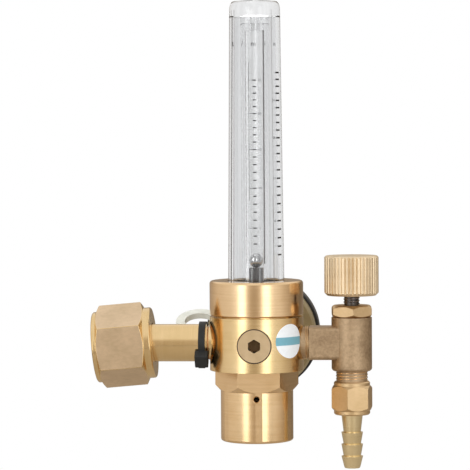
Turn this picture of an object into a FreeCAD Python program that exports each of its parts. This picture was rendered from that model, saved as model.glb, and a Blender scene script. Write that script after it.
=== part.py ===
import FreeCAD, Part
import math
import os

import Sketcher

# Carbon dioxide flowmeter regulator, in millimetres.
# Frame: +Z up, the inlet points along -X, the outlet valve stands on the +X side, the plug faces -Y
# and the pressure gauge faces +Y. The origin is the centre of the inlet nipple's nose face.

os.makedirs("parts", exist_ok=True)
doc = FreeCAD.newDocument("flowmeter_regulator")
Vector = FreeCAD.Vector

# Driving dimensions: name, value and what it measures. Heights are taken from the inlet axis
SIZES = [
    ("axis_reach", 56.0, "nipple nose to the vertical axis of the body"),
    ("thread_play", 0.05, "radial room in a screwed joint"),
    ("running_play", 0.05, "radial room round a turning or sliding piece"),
    ("loose_play", 0.3, "room round a piece that hangs loosely"),
    ("body_radius", 19.7, "round bar of the body"),
    ("body_rise", 11.2, "inlet axis up to the body's shoulder"),
    ("body_drop", 11.3, "inlet axis down to the body's lower face"),
    ("spigot_share", 0.8629, "threaded spigot under the tube cap, as a share of the body's radius"),
    ("spigot_rise", 7.4, "spigot above the shoulder"),
    ("port_radius", 6.75, "threaded side ports"),
    ("port_depth", 5.5, "depth of a side port"),
    ("gas_bore_radius", 1.75, "drillings between the ports and the valve"),
    ("outlet_well_share", 0.4061, "place of the drilling that feeds the outlet, share of the body's radius"),
    ("outlet_well_radius", 1.2, "drilling that feeds the outlet"),
    ("lift_drill_radius", 0.8, "slanted drilling from the chamber to the tube"),
    ("chamber_share", 0.5482, "low pressure chamber over the diaphragm, as a share of the body's radius"),
    ("chamber_height", 1.0, "low pressure chamber"),
    ("bonnet_thread_share", 0.6777, "bonnet thread in the body, as a share of the body's radius"),
    ("bonnet_bore_depth", 4.5, "threaded bore for the bonnet"),
    ("nozzle_radius", 3.85, "screwed-in nozzle"),
    ("nozzle_height", 3.2, "screwed-in nozzle"),
    ("nozzle_orifice", 1.1, "radius of the hole in the nozzle"),
    ("valve_bore_radius", 3.2, "high pressure bore over the nozzle"),
    ("valve_bore_height", 7.1, "high pressure bore over the nozzle"),
    ("tube_socket_depth", 5.6, "socket for the metering tube"),
    ("feed_bore_radius", 1.6, "bore under the metering tube"),
    ("feed_bore_depth", 2.6, "bore under the metering tube"),
    ("cap_standoff", 0.5, "groove between the body and the tube cap"),
    ("cap_height", 14.65, "tube cap"),
    ("cap_lip", 4.05, "lip of the cap over the tube's flange"),
    ("cap_round", 1.3, "rounded upper edge of the cap"),
    ("cap_chamfer", 0.5, "lower edge of the cap"),
    ("cap_mouth_play", 0.35, "room between the cap's mouth and the tube"),
    ("cover_flange_share", 0.7360, "flange of the clear cover, as a share of the body's radius"),
    ("cover_flange", 2.5, "thickness of the cover's flange"),
    ("cover_low_share", 0.5990, "clear cover at the flange, as a share of the body's radius"),
    ("cover_high_share", 0.5406, "clear cover under its top chamfer, as a share of the body's radius"),
    ("cover_wall", 1.85, "clear cover"),
    ("cover_top_rise", 140.0, "top chamfer of the cover starts"),
    ("cover_top_chamfer", 3.3, "height of the top chamfer"),
    ("cover_top_share", 0.4340, "flat top of the cover, as a share of the body's radius"),
    ("cover_ceiling", 137.1, "underside of the cover's closed top"),
    ("gasket_thickness", 1.2, "gasket under the cover's flange"),
    ("metering_share", 0.3046, "outside of the metering tube, as a share of the body's radius"),
    ("metering_top", 133.8, "top of the metering tube"),
    ("metering_bore_low", 3.15, "bore radius at the ball's rest"),
    ("metering_bore_high", 3.95, "bore radius at the top"),
    ("metering_gasket", 1.0, "washer under the metering tube"),
    ("stop_top", 31.65, "top of the slotted ball stop"),
    ("stop_radius", 3.05, "slotted ball stop"),
    ("stop_bore", 1.2, "bore radius of the ball stop"),
    ("stop_slot", 1.1, "slot width of the ball stop"),
    ("stop_slot_depth", 8.0, "slots of the ball stop"),
    ("ball_radius", 3.0, "float ball"),
    ("spacer_plug", 3.0, "spigot of the top spacer in the tube"),
    ("spacer_bore", 1.5, "gas hole radius in the top spacer"),
    ("spacer_slot", 1.6, "width and depth of the spacer's gas slots"),
    ("bonnet_flats_share", 1.5431, "wrench flats of the bonnet, as a share of the body's radius"),
    ("bonnet_turn", 6.0, "turn of the bonnet's flats from the front"),
    ("bonnet_hex_height", 6.2, "wrench flats of the bonnet"),
    ("bonnet_cone_height", 2.4, "chamfer under the wrench flats"),
    ("bonnet_share", 0.7750, "spring housing, as a share of the body's radius"),
    ("bonnet_bottom", 41.1, "inlet axis down to the bonnet's end"),
    ("bonnet_round", 1.0, "rounded lower edge"),
    ("cavity_share", 0.5584, "radius of the spring space, as a share of the body's radius"),
    ("bonnet_floor", 5.5, "threaded floor of the bonnet"),
    ("vent_drop", 22.5, "inlet axis down to the vent hole"),
    ("vent_radius", 1.15, "vent hole"),
    ("vent_sink", 0.45, "countersink of the vent hole"),
    ("vent_turn", 2.5, "turn of the vent hole from the front"),
    ("diaphragm_thickness", 0.8, "rubber diaphragm"),
    ("slip_ring", 0.6, "thickness of the slip ring"),
    ("plate_share", 0.4315, "diaphragm plate and spring button, as a share of the body's radius"),
    ("plate_thickness", 1.8, "diaphragm plate"),
    ("spring_guide_share", 0.2843, "bosses that centre the spring, as a share of the body's radius"),
    ("spring_guide", 1.4, "height of those bosses"),
    ("rivet_radius", 1.5, "shank of the diaphragm rivet"),
    ("rivet_head_radius", 3.5, "head of the diaphragm rivet"),
    ("rivet_head", 0.55, "head of the diaphragm rivet"),
    ("spring_share", 0.3553, "mean radius of the main spring, as a share of the body's radius"),
    ("spring_wire", 1.0, "wire radius of the main spring"),
    ("spring_length", 16.0, "main spring as set"),
    ("spring_turns", 4.5, "turns of the main spring"),
    ("button_thickness", 1.6, "spring button"),
    ("screw_radius", 4.0, "adjusting screw"),
    ("screw_recess", 1.0, "adjusting screw below the bonnet's end face"),
    ("screw_hex", 4.0, "hexagon socket of the adjusting screw"),
    ("screw_hex_depth", 4.0, "hexagon socket of the adjusting screw"),
    ("poppet_lift", 0.4, "valve opening with no gas"),
    ("poppet_radius", 2.2, "poppet head"),
    ("poppet_head", 2.0, "poppet head"),
    ("poppet_stem", 0.7, "radius of the poppet's stem"),
    ("poppet_spring_radius", 1.5, "mean radius of the poppet spring"),
    ("poppet_spring_wire", 0.25, "wire radius of the poppet spring"),
    ("poppet_spring_turns", 4.5, "turns of the poppet spring"),
    ("plug_radius", 7.2, "front plug"),
    ("plug_recess", 0.4, "plug's face below the body's surface"),
    ("plug_depth", 6.3, "depth of the plug's port"),
    ("plug_seal", 0.6, "washer behind the plug"),
    ("plug_hex", 5.0, "hexagon socket of the plug"),
    ("plug_hex_depth", 4.0, "hexagon socket of the plug"),
    ("plug_chamfer", 0.35, "edge of the plug's face"),
    ("label_share", 0.3605, "round paper label, as a share of the body's radius"),
    ("label_thickness", 0.12, "paper label"),
    ("label_turn", 48.0, "turn of the label from the front"),
    ("label_rise", 1.75, "label centre above the inlet axis"),
    ("pipe_radius", 7.875, "inlet pipe of the nipple"),
    ("pipe_gap", 1.5, "body to the pipe's end"),
    ("nose_radius", 5.8, "sealing nose of the nipple"),
    ("nose_length", 2.5, "sealing nose of the nipple"),
    ("shoulder_radius", 8.9, "shoulder that the nut bears on"),
    ("shoulder_length", 4.5, "shoulder that the nut bears on"),
    ("nipple_bore", 2.0, "bore radius of the nipple"),
    ("filter_radius", 3.5, "sintered filter"),
    ("filter_length", 4.0, "sintered filter"),
    ("filter_recess", 0.8, "filter below the nose face"),
    ("nut_tilt", 5.0, "droop of the loose inlet nut"),
    ("nut_pivot", 45.65, "body axis to where the two axes cross"),
    ("nut_flats", 30.4, "wrench flats of the nut"),
    ("nut_web", 4.5, "web of the nut round the pipe"),
    ("nut_length", 24.9, "inlet nut"),
    ("nut_bore", 9.75, "minor radius of the nut's thread"),
    ("nut_thread", 10.0, "threaded length of the nut"),
    ("nut_relief", 10.2, "relief radius between the nut's thread and its web"),
    ("nut_web_play", 0.375, "room between the web's hole and the pipe"),
    ("nut_collar_radius", 14.9, "turned collars of the nut"),
    ("nut_collar_front", 3.0, "collar next to the body"),
    ("nut_collar_mouth", 1.8, "collar at the mouth"),
    ("nut_mouth_chamfer", 1.0, "lead-in of the nut's thread"),
    ("nut_edge", 0.5, "outer edges of the nut"),
    ("tie_gap", 3.0, "body to the cable tie"),
    ("tie_width", 2.8, "cable tie"),
    ("tie_thickness", 1.0, "cable tie"),
    ("tie_play", 0.1, "room under the cable tie"),
    ("tie_head_width", 5.6, "head of the tie along the pipe"),
    ("tie_head_length", 6.4, "head of the tie round the pipe"),
    ("tie_head_height", 4.2, "head of the tie off the pipe"),
    ("tie_head_turn", 38.0, "head of the tie below the front"),
    ("tie_tail", 1.1, "cut tail of the tie"),
    ("washer_radius", 9.95, "spare sealing washer"),
    ("washer_hole", 6.2, "hole radius of the spare washer"),
    ("washer_thickness", 2.6, "spare sealing washer"),
    ("washer_slope", 25.0, "rise of the washer towards the back"),
    ("washer_shift", 2.9, "washer's centre beside the tie"),
    ("washer_reach", 16.8, "pipe axis back to the washer's centre"),
    ("washer_rise", 8.15, "pipe axis up to the washer's upper face"),
    ("bezel_share", 1.0549, "bezel of the gauge, as a share of the gauge case's radius"),
    ("gauge_case_radius", 23.7, "case of the gauge"),
    ("gauge_gap", 14.3, "body to the back of the gauge"),
    ("gauge_depth", 22.5, "back of the gauge to the front edge of its case"),
    ("gauge_wall", 1.2, "wall of the case"),
    ("bezel_depth", 9.0, "front edge of the case to the bezel's back"),
    ("bezel_lip", 1.2, "lip of the bezel over the lens"),
    ("window_share", 0.9114, "radius of the bezel's window, as a share of the gauge case's radius"),
    ("bezel_round", 0.8, "edges of the bezel"),
    ("lens_thickness", 1.8, "window of the gauge"),
    ("dial_depth", 3.9, "front edge of the case to the dial's back"),
    ("dial_thickness", 0.5, "dial"),
    ("dial_share", 0.9451, "dial, as a share of the gauge case's radius"),
    ("socket_neck", 5.0, "neck radius of the gauge socket"),
    ("socket_square", 14.0, "wrench square of the gauge socket"),
    ("socket_gap", 1.9, "body to the gauge's wrench square"),
    ("socket_reach", 12.8, "back of the gauge to the socket's inner end"),
    ("socket_arm", 6.0, "arm that holds the pressure tube"),
    ("bourdon_share", 0.6962, "bend of the pressure tube, as a share of the gauge case's radius"),
    ("bourdon_tube_radius", 1.6, "pressure tube"),
    ("bourdon_gap", 8.0, "back of the gauge to the pressure tube"),
    ("bourdon_sweep", 245.0, "arc of the pressure tube"),
    ("movement_plate", 0.8, "plate of the movement"),
    ("movement_width", 12.0, "plate of the movement"),
    ("arbor_radius", 0.8, "arbors of the movement"),
    ("gear_module", 0.3, "tooth size of the movement"),
    ("gear_thickness", 1.0, "sector of the movement"),
    ("gear_standoff", 0.8, "plate to the sector"),
    ("gear_backlash", 0.05, "play between the teeth"),
    ("pointer_share", 0.7173, "arbor to the pointer's tip, as a share of the gauge case's radius"),
    ("pointer_tail", 5.5, "arbor to the pointer's tail"),
    ("pointer_width", 1.5, "pointer at its hub"),
    ("pointer_thickness", 0.4, "pointer"),
    ("pointer_hub", 2.0, "hub radius of the pointer"),
    ("valve_reach", 40.0, "body axis to the needle valve's axis"),
    ("valve_radius", 8.5, "needle valve housing"),
    ("valve_rise", 10.7, "inlet axis up to the housing's top"),
    ("valve_drop", 11.9, "inlet axis down to the housing's end"),
    ("valve_round", 1.4, "cast edges of the housing"),
    ("arm_gap", 2.6, "body to the valve's square arm"),
    ("arm_height", 13.8, "square arm"),
    ("arm_depth", 13.4, "square arm from front to back"),
    ("arm_round", 1.6, "cast edges of the arm"),
    ("outlet_thread_radius", 6.5, "hose thread under the valve"),
    ("outlet_thread_end", 24.0, "inlet axis down to the thread's end"),
    ("outlet_bore", 3.0, "bore radius under the needle"),
    ("orifice_radius", 1.4, "needle orifice"),
    ("orifice_top", 1.5, "inlet axis down to the needle's seating edge"),
    ("orifice_length", 3.0, "needle orifice"),
    ("stem_bore", 3.3, "bore round the stem"),
    ("gland_floor", 6.8, "inlet axis up to the gland nut's thread end"),
    ("gland_radius", 5.0, "thread of the packing nut"),
    ("gland_flats", 16.2, "wrench flats of the packing nut"),
    ("gland_turn", 5.5, "turn of the packing nut"),
    ("gland_height", 5.1, "head of the packing nut"),
    ("gland_chamfer", 1.8, "chamfers of the packing nut, below its corners"),
    ("stem_radius", 3.1, "threaded stem"),
    ("stem_guide", 2.9, "stem beside the ring"),
    ("stem_neck", 2.3, "stem under the ring"),
    ("stem_shank", 2.5, "stem in the knob"),
    ("stem_tip", 0.45, "needle tip"),
    ("ring_rise", 2.9, "inlet axis up to the stem's sealing ring"),
    ("ring_wire", 0.45, "section radius of the sealing ring"),
    ("knob_bottom", 19.9, "inlet axis up to the knob"),
    ("knob_height", 16.7, "knob"),
    ("knob_radius", 11.4, "knob"),
    ("knob_chamfer", 1.2, "lower edge of the knob"),
    ("knob_top_chamfer", 0.7, "upper edge of the knob"),
    ("knob_floor", 1.8, "top of the knob over the stem"),
    ("flute_depth", 0.45, "flutes of the knob"),
    ("flute_width", 0.95, "flutes of the knob"),
    ("set_screw_radius", 1.5, "set screw of the knob"),
    ("set_screw_rise", 5.0, "set screw above the knob's lower face"),
    ("set_screw_length", 6.0, "set screw of the knob"),
    ("hose_nut_top", 16.2, "inlet axis down to the hose nut"),
    ("hose_nut_end", 30.2, "inlet axis down to the nut's lower face"),
    ("hose_nut_collar", 7.6, "collars of the hose nut"),
    ("hose_nut_collar_height", 1.7, "collars of the hose nut"),
    ("hose_nut_flats", 15.6, "wrench flats of the hose nut"),
    ("hose_nut_turn", -10.7, "turn of the hose nut"),
    ("hose_nut_web", 4.6, "web of the hose nut round the barb"),
    ("hose_nut_chamfer", 0.5, "edges of the hose nut"),
    ("barb_neck", 4.5, "barb at the nut"),
    ("barb_root", 3.62, "barb between its rings"),
    ("barb_crest", 4.55, "rings of the barb"),
    ("barb_first", 37.7, "inlet axis down to the first ring"),
    ("barb_pitch", 5.05, "rings of the barb"),
    ("barb_end", 52.8, "inlet axis down to the barb's end"),
    ("barb_bore", 2.2, "bore radius of the barb"),
    ("barb_flange", 6.3, "flange inside the hose nut"),
]

# Counts that no length changes
PINION_TEETH = 12
SECTOR_TEETH = 90
SECTOR_SWING = 36.0
FLUTES = 42
STOP_SLOTS = 3
BARB_RINGS = 3
PRESSURE_ANGLE = math.radians(20)
HEX_CORNER = 1 / math.sqrt(3)


class Length:
    """A size that carries its sheet expression beside its value."""

    def __init__(self, value, text):
        self.value = value
        self.text = text

    def __add__(self, other):
        other = as_length(other)
        return Length(self.value + other.value, f"({self.text} + {other.text})")

    def __radd__(self, other):
        return as_length(other) + self

    def __sub__(self, other):
        other = as_length(other)
        return Length(self.value - other.value, f"({self.text} - {other.text})")

    def __rsub__(self, other):
        return as_length(other) - self

    def __mul__(self, factor):
        factor = as_length(factor)
        return Length(self.value * factor.value, f"({self.text} * {factor.text})")

    def __rmul__(self, factor):
        return self * factor

    def __truediv__(self, divisor):
        divisor = as_length(divisor)
        return Length(self.value / divisor.value, f"({self.text} / {divisor.text})")

    def __neg__(self):
        return Length(-self.value, f"(0 - {self.text})")


def as_length(number):
    """A plain number as a length, so that both can be mixed."""
    if isinstance(number, Length):
        return number
    return Length(float(number), f"({float(number)!r})")


class Sizes:
    """The spreadsheet's values as lengths, one attribute for each alias."""


def fill_sheet():
    """Write the driving dimensions into the spreadsheet and return them as lengths."""
    sheet = doc.addObject("Spreadsheet::Sheet", "Sheet")
    sizes = Sizes()
    for row, (alias, value, note) in enumerate(SIZES, start=1):
        sheet.set(f"A{row}", alias)
        sheet.set(f"B{row}", str(value))
        sheet.set(f"C{row}", note)
        sheet.setAlias(f"B{row}", alias)
        setattr(sizes, alias, Length(value, f"Sheet.{alias}"))
    doc.recompute()
    return sizes


size = fill_sheet()
nodes = []


# Helpers that bind a feature to the sheet

def bind(feature, **lengths):
    """Bind properties of a feature to lengths."""
    for name, length in lengths.items():
        feature.setExpression(name, as_length(length).text)


def place(feature, x=0, y=0, z=0, rotation=None):
    """Move a feature to a place that follows the sheet, after an optional fixed turn."""
    if rotation is not None:
        feature.Placement = FreeCAD.Placement(Vector(), rotation)
    for name, length in (("x", x), ("y", y), ("z", z)):
        feature.setExpression(f"Placement.Base.{name}", as_length(length).text)
    return feature


def node(feature, label):
    """Name a finished sub-part and keep it for export."""
    feature.Label = label
    nodes.append(feature)
    return feature


def origin_plane(body, role):
    """One of the body's own origin planes."""
    return next(item for item in body.Origin.OriginFeatures if item.Role == role)


def new_sketch(body, role, offset=0):
    """A sketch on one of the body's origin planes, moved along its normal."""
    sketch = body.newObject("Sketcher::SketchObject", "Outline")
    sketch.AttachmentSupport = (origin_plane(body, role), [""])
    sketch.MapMode = "FlatFace"
    sketch.setExpression("AttachmentOffset.Base.z", as_length(offset).text)
    return sketch


def pin_down(sketch, line, end, across, up):
    """Fix one end of a line at a place that follows the sheet."""
    for kind, length in (("DistanceX", across), ("DistanceY", up)):
        constraint = Sketcher.Constraint(kind, -1, 1, line, end, length.value)
        index = sketch.addConstraint(constraint)
        sketch.setExpression(f"Constraints[{index}]", length.text)


def draw_outline(sketch, corners):
    """Draw a closed outline of straight lines through the corners."""
    corners = [(as_length(across), as_length(up)) for across, up in corners]
    first = sketch.GeometryCount
    points = [Vector(across.value, up.value, 0) for across, up in corners]
    for start, end in zip(points, points[1:] + points[:1]):
        sketch.addGeometry(Part.LineSegment(start, end), False)
    for index, corner in enumerate(corners):
        following = first + (index + 1) % len(corners)
        sketch.addConstraint(Sketcher.Constraint("Coincident", first + index, 2, following, 1))
        pin_down(sketch, first + index, 1, *corner)


def turned(profile, along="Z"):
    """A body turned from a profile of (distance along the axis, radius) corners."""
    body = doc.addObject("PartDesign::Body", "Turning")
    upright = along == "Z"
    sketch = new_sketch(body, "YZ_Plane" if along == "Y" else "XZ_Plane")
    draw_outline(sketch, [(radius, at) if upright else (at, radius) for at, radius in profile])
    turning = body.newObject("PartDesign::Revolution", "Turned")
    turning.Profile = sketch
    turning.ReferenceAxis = (sketch, ["V_Axis" if upright else "H_Axis"])
    turning.Angle = 360
    body.Tip = turning
    return body


def ring(low, high, inner, outer, along="Z"):
    """A plain ring between two places on the axis."""
    return turned([(low, inner), (high, inner), (high, outer), (low, outer)], along)


def disc(low, high, radius, along="Z"):
    """A plain disc between two places on the axis."""
    return turned([(low, 0), (high, 0), (high, radius), (low, radius)], along)


def rounded(body, radius, picks):
    """Round the edges of a body that the test picks."""
    doc.recompute()
    tip = body.Tip
    edges = [f"Edge{index}" for index, edge in enumerate(tip.Shape.Edges, start=1) if picks(edge)]
    if not edges:
        raise ValueError("no edge to round")
    fillet = body.newObject("PartDesign::Fillet", "Rounded")
    fillet.Base = (tip, edges)
    bind(fillet, Radius=radius)
    body.Tip = fillet
    return body


def is_circle(edge, radius, level=None):
    """Whether an edge is a circle of this radius round the body's own Z axis, at this level."""
    curve = edge.Curve
    if not isinstance(curve, Part.Circle) or abs(curve.Radius - radius.value) > 1e-4:
        return False
    return level is None or abs(curve.Center.z - level.value) < 1e-4


def rod(radius, length, x=0, y=0, z=0, direction=(0, 0, 1)):
    """A cylinder that starts at a place and runs in a direction."""
    cylinder = doc.addObject("Part::Cylinder", "Rod")
    bind(cylinder, Radius=radius, Height=length)
    return place(cylinder, x, y, z, FreeCAD.Rotation(Vector(0, 0, 1), Vector(*direction)))


def block(length, width, height, x=0, y=0, z=0):
    """A box whose lowest corner stands at a place."""
    box = doc.addObject("Part::Box", "Block")
    bind(box, Length=length, Width=width, Height=height)
    return place(box, x, y, z)


def hexagon(across_flats, length, rotation, x=0, y=0, z=0):
    """A six-sided prism that starts at a place, with its first corner where the rotation puts it."""
    prism = doc.addObject("Part::Prism", "Hexagon")
    prism.Polygon = 6
    bind(prism, Circumradius=across_flats * HEX_CORNER, Height=length)
    return place(prism, x, y, z, rotation)


def fused(pieces):
    """One solid from several."""
    union = doc.addObject("Part::MultiFuse", "Union")
    union.Shapes = pieces
    return union


def cut(base, tools):
    """A solid with one or more tools taken away."""
    result = doc.addObject("Part::Cut", "Cut")
    result.Base = base
    result.Tool = tools[0] if len(tools) == 1 else fused(tools)
    return result


def common(first, second):
    """What two solids share."""
    result = doc.addObject("Part::Common", "Common")
    result.Base = first
    result.Tool = second
    return result


def about_z(degrees):
    """A turn about the vertical."""
    return FreeCAD.Rotation(Vector(0, 0, 1), degrees)


FORWARD = FreeCAD.Rotation(Vector(0, 0, 1), Vector(0, -1, 0))

# Radii and places that follow the body's and the gauge case's radii
axis = size.axis_reach
spigot_radius = size.body_radius * size.spigot_share
cover_flange_radius = size.body_radius * size.cover_flange_share
cover_radius_low = size.body_radius * size.cover_low_share
cover_radius_high = size.body_radius * size.cover_high_share
cover_top_radius = size.body_radius * size.cover_top_share
metering_radius = size.body_radius * size.metering_share
chamber_radius = size.body_radius * size.chamber_share
bonnet_thread_radius = size.body_radius * size.bonnet_thread_share
bonnet_radius = size.body_radius * size.bonnet_share
bonnet_cavity = size.body_radius * size.cavity_share
plate_radius = size.body_radius * size.plate_share
spring_radius = size.body_radius * size.spring_share
spring_guide_radius = size.body_radius * size.spring_guide_share
outlet_well = size.body_radius * size.outlet_well_share
label_radius = size.body_radius * size.label_share
gauge_radius = size.gauge_case_radius * size.bezel_share
dial_radius = size.gauge_case_radius * size.dial_share
bezel_window = size.gauge_case_radius * size.window_share
bourdon_radius = size.gauge_case_radius * size.bourdon_share
pointer_length = size.gauge_case_radius * size.pointer_share
plug_face = size.body_radius - size.plug_recess
plug_floor = size.body_radius - size.plug_depth
port_floor = size.body_radius - size.port_depth
pipe_end = size.body_radius + size.pipe_gap
arm_start = size.body_radius + size.arm_gap
socket_square_start = size.body_radius + size.socket_gap
tie_place = size.body_radius + size.tie_gap
gauge_back = size.body_radius + size.gauge_gap
gauge_front = gauge_back + size.gauge_depth
bezel_back = gauge_front - size.bezel_depth
dial_place = gauge_front - size.dial_depth
socket_end = gauge_back + size.socket_reach
bourdon_place = gauge_back + size.bourdon_gap
tube_socket_radius = metering_radius + size.thread_play
bonnet_flats = size.body_radius * size.bonnet_flats_share

# Levels that several pieces share
spigot_top = size.body_rise + size.spigot_rise
ledge = size.bonnet_bore_depth - size.body_drop
chamber_roof = ledge + size.chamber_height
nozzle_top = chamber_roof + size.nozzle_height
valve_bore_top = nozzle_top + size.valve_bore_height
socket_floor = spigot_top - size.tube_socket_depth
thread_radius = size.port_radius - size.thread_play
thread_end = port_floor + 4 * size.thread_play
flange_seat = spigot_top + size.gasket_thickness
flange_top = flange_seat + size.cover_flange
metering_bottom = socket_floor + size.metering_gasket
diaphragm_low = ledge - size.diaphragm_thickness
ring_low = diaphragm_low - size.slip_ring
plate_low = diaphragm_low - size.plate_thickness
rivet_top = ledge + size.rivet_head
spring_low = plate_low - size.spring_length
button_low = spring_low - size.button_thickness
valve_axis = axis + size.valve_reach


# Body

def slanted_drill():
    """The drilling from the low pressure chamber up to the bore under the metering tube."""
    top_reach = size.feed_bore_radius.value - size.lift_drill_radius.value / 2
    foot_reach = chamber_radius.value - 2 * size.lift_drill_radius.value
    top = (socket_floor - size.feed_bore_depth / 2).value
    foot = ((ledge + chamber_roof) / 2).value
    turn = math.radians(45)
    foot_point = Vector(foot_reach * math.cos(turn), foot_reach * math.sin(turn), foot)
    top_point = Vector(top_reach * math.cos(turn), top_reach * math.sin(turn), top)
    run = top_point - foot_point
    start = foot_point + Vector(axis.value, 0, 0)
    drill = rod(size.lift_drill_radius, run.Length, direction=tuple(run))
    return place(drill, *start)


def regulator_body():
    """Bar stock with a threaded spigot, four side ports, the valve bore and the bonnet's thread."""
    bar = turned([
        (-size.body_drop, bonnet_thread_radius + size.thread_play),
        (ledge, bonnet_thread_radius + size.thread_play),
        (ledge, chamber_radius),
        (chamber_roof, chamber_radius),
        (chamber_roof, size.nozzle_radius + size.thread_play),
        (nozzle_top, size.nozzle_radius + size.thread_play),
        (nozzle_top, size.valve_bore_radius),
        (valve_bore_top, size.valve_bore_radius),
        (valve_bore_top, 0),
        (socket_floor - size.feed_bore_depth, 0),
        (socket_floor - size.feed_bore_depth, size.feed_bore_radius),
        (socket_floor, size.feed_bore_radius),
        (socket_floor, tube_socket_radius),
        (spigot_top, tube_socket_radius),
        (spigot_top, spigot_radius),
        (size.body_rise, spigot_radius),
        (size.body_rise, size.body_radius),
        (-size.body_drop, size.body_radius),
    ])
    place(bar, axis)
    port_length = size.body_radius - port_floor
    plug_length = size.body_radius - plug_floor
    ports = [
        rod(size.port_radius, port_length, axis - size.body_radius, direction=(1, 0, 0)),
        rod(size.port_radius, port_length, axis + port_floor, direction=(1, 0, 0)),
        rod(size.port_radius, port_length, axis, port_floor, direction=(0, 1, 0)),
        rod(size.plug_radius + size.thread_play, plug_length, axis, -size.body_radius, direction=(0, 1, 0)),
        rod(size.gas_bore_radius, port_floor, axis - port_floor, direction=(1, 0, 0)),
        rod(size.gas_bore_radius, port_floor + plug_floor, axis, -plug_floor, direction=(0, 1, 0)),
        rod(size.gas_bore_radius, port_floor - outlet_well, axis + outlet_well, direction=(1, 0, 0)),
        rod(size.outlet_well_radius, spigot_top, axis + outlet_well),
        slanted_drill(),
    ]
    node(cut(bar, ports), "regulator_body")


def front_plug():
    """Socket plug that closes the front port, with its washer."""
    body = turned([
        (-plug_face, 0),
        (-plug_face, size.plug_radius - size.plug_chamfer),
        (size.plug_chamfer - plug_face, size.plug_radius),
        (-plug_floor - size.plug_seal, size.plug_radius),
        (-plug_floor - size.plug_seal, 0),
    ], "Y")
    place(body, axis)
    pointed_up = FORWARD.multiply(about_z(90))
    mouth = size.plug_hex_depth - plug_face
    socket = hexagon(size.plug_hex, size.plug_hex_depth, pointed_up, axis, mouth)
    node(cut(body, [socket]), "front_plug")
    seal_front = -plug_floor - size.plug_seal
    seal = ring(seal_front, -plug_floor, size.gas_bore_radius, size.plug_radius, "Y")
    node(place(seal, axis), "plug_seal")


def inspection_label():
    """Round paper label that follows the body's curve."""
    height = 2 * label_radius + 2
    low = size.label_rise - height / 2
    skin = cut(rod(size.body_radius + size.label_thickness, height, axis, z=low),
               [rod(size.body_radius, height, axis, z=low)])
    turn = math.radians(size.label_turn.value)
    outward = (math.sin(turn), -math.cos(turn), 0)
    stamp = rod(label_radius, size.body_radius + 2, axis, z=size.label_rise, direction=outward)
    node(common(skin, stamp), "inspection_label")


# Flow tube

def tube_retaining_cap():
    """Ring that screws on the spigot and holds the clear cover by its flange."""
    bottom = size.body_rise + size.cap_standoff
    top = bottom + size.cap_height
    thread = spigot_radius + size.thread_play
    mouth = cover_radius_low + size.cap_mouth_play
    body = turned([
        (bottom, thread),
        (top - size.cap_lip, thread),
        (top - size.cap_lip, mouth),
        (top, mouth),
        (top, size.body_radius),
        (bottom + size.cap_chamfer, size.body_radius),
        (bottom, size.body_radius - size.cap_chamfer),
    ])
    rounded(body, size.cap_round, lambda edge: is_circle(edge, size.body_radius, top))
    node(place(body, axis), "tube_retaining_cap")


def cover_tube():
    """Clear closed cover, moulded with a slight taper, and the gasket under its flange."""
    body = turned([
        (flange_seat, cover_radius_low - size.cover_wall),
        (flange_seat, cover_flange_radius),
        (flange_top, cover_flange_radius),
        (flange_top, cover_radius_low),
        (size.cover_top_rise, cover_radius_high),
        (size.cover_top_rise + size.cover_top_chamfer, cover_top_radius),
        (size.cover_top_rise + size.cover_top_chamfer, 0),
        (size.cover_ceiling, 0),
        (size.cover_ceiling, cover_radius_high - size.cover_wall),
    ])
    node(place(body, axis), "cover_tube")
    inner = outlet_well + size.outlet_well_radius + size.gasket_thickness / 2
    gasket = ring(spigot_top, flange_seat, inner, cover_flange_radius)
    node(place(gasket, axis), "cover_gasket")


def metering_tube():
    """Thick clear tube with a tapered bore, and the washer that it stands on."""
    body = turned([
        (metering_bottom, size.metering_bore_low),
        (size.stop_top, size.metering_bore_low),
        (size.metering_top, size.metering_bore_high),
        (size.metering_top, metering_radius),
        (metering_bottom, metering_radius),
    ])
    node(place(body, axis), "metering_tube")
    washer = ring(socket_floor, metering_bottom, size.feed_bore_radius, metering_radius)
    node(place(washer, axis), "metering_tube_gasket")


def ball_stop():
    """Slotted stop that the ball rests on when no gas flows."""
    body = place(ring(metering_bottom, size.stop_top, size.stop_bore, size.stop_radius), axis)
    slots = []
    for index in range(STOP_SLOTS):
        slot = doc.addObject("Part::Box", "Slot")
        bind(slot, Length=2 * size.stop_radius + 2, Width=size.stop_slot, Height=size.stop_slot_depth + 1)
        turn = 180 * index / STOP_SLOTS
        spin = about_z(turn)
        corner = spin.multVec(Vector(-size.stop_radius.value - 1, -size.stop_slot.value / 2, 0))
        place(slot, axis + corner.x, corner.y, size.stop_top - size.stop_slot_depth, spin)
        slots.append(slot)
    node(cut(body, slots), "ball_stop")


def float_ball():
    """Ball that floats in the gas stream, just clear of its stop."""
    ball = doc.addObject("Part::Sphere", "Ball")
    bind(ball, Radius=size.ball_radius)
    node(place(ball, axis, z=size.stop_top + size.running_play + size.ball_radius), "float_ball")


def tube_top_spacer():
    """Spacer between the metering tube and the cover, slotted to let the gas turn back."""
    plug_radius = size.metering_bore_high - size.loose_play
    body = turned([
        (size.metering_top - size.spacer_plug, size.spacer_bore),
        (size.cover_ceiling, size.spacer_bore),
        (size.cover_ceiling, metering_radius),
        (size.metering_top, metering_radius),
        (size.metering_top, plug_radius),
        (size.metering_top - size.spacer_plug, plug_radius),
    ])
    place(body, axis)
    span = 2 * metering_radius + 2
    low = size.cover_ceiling - size.spacer_slot
    along = block(span, size.spacer_slot, size.spacer_slot, axis - span / 2, -size.spacer_slot / 2, low)
    across = block(size.spacer_slot, span, size.spacer_slot, axis - size.spacer_slot / 2, -span / 2, low)
    node(cut(body, [along, across]), "tube_top_spacer")


# Pressure reducing valve and bonnet

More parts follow.
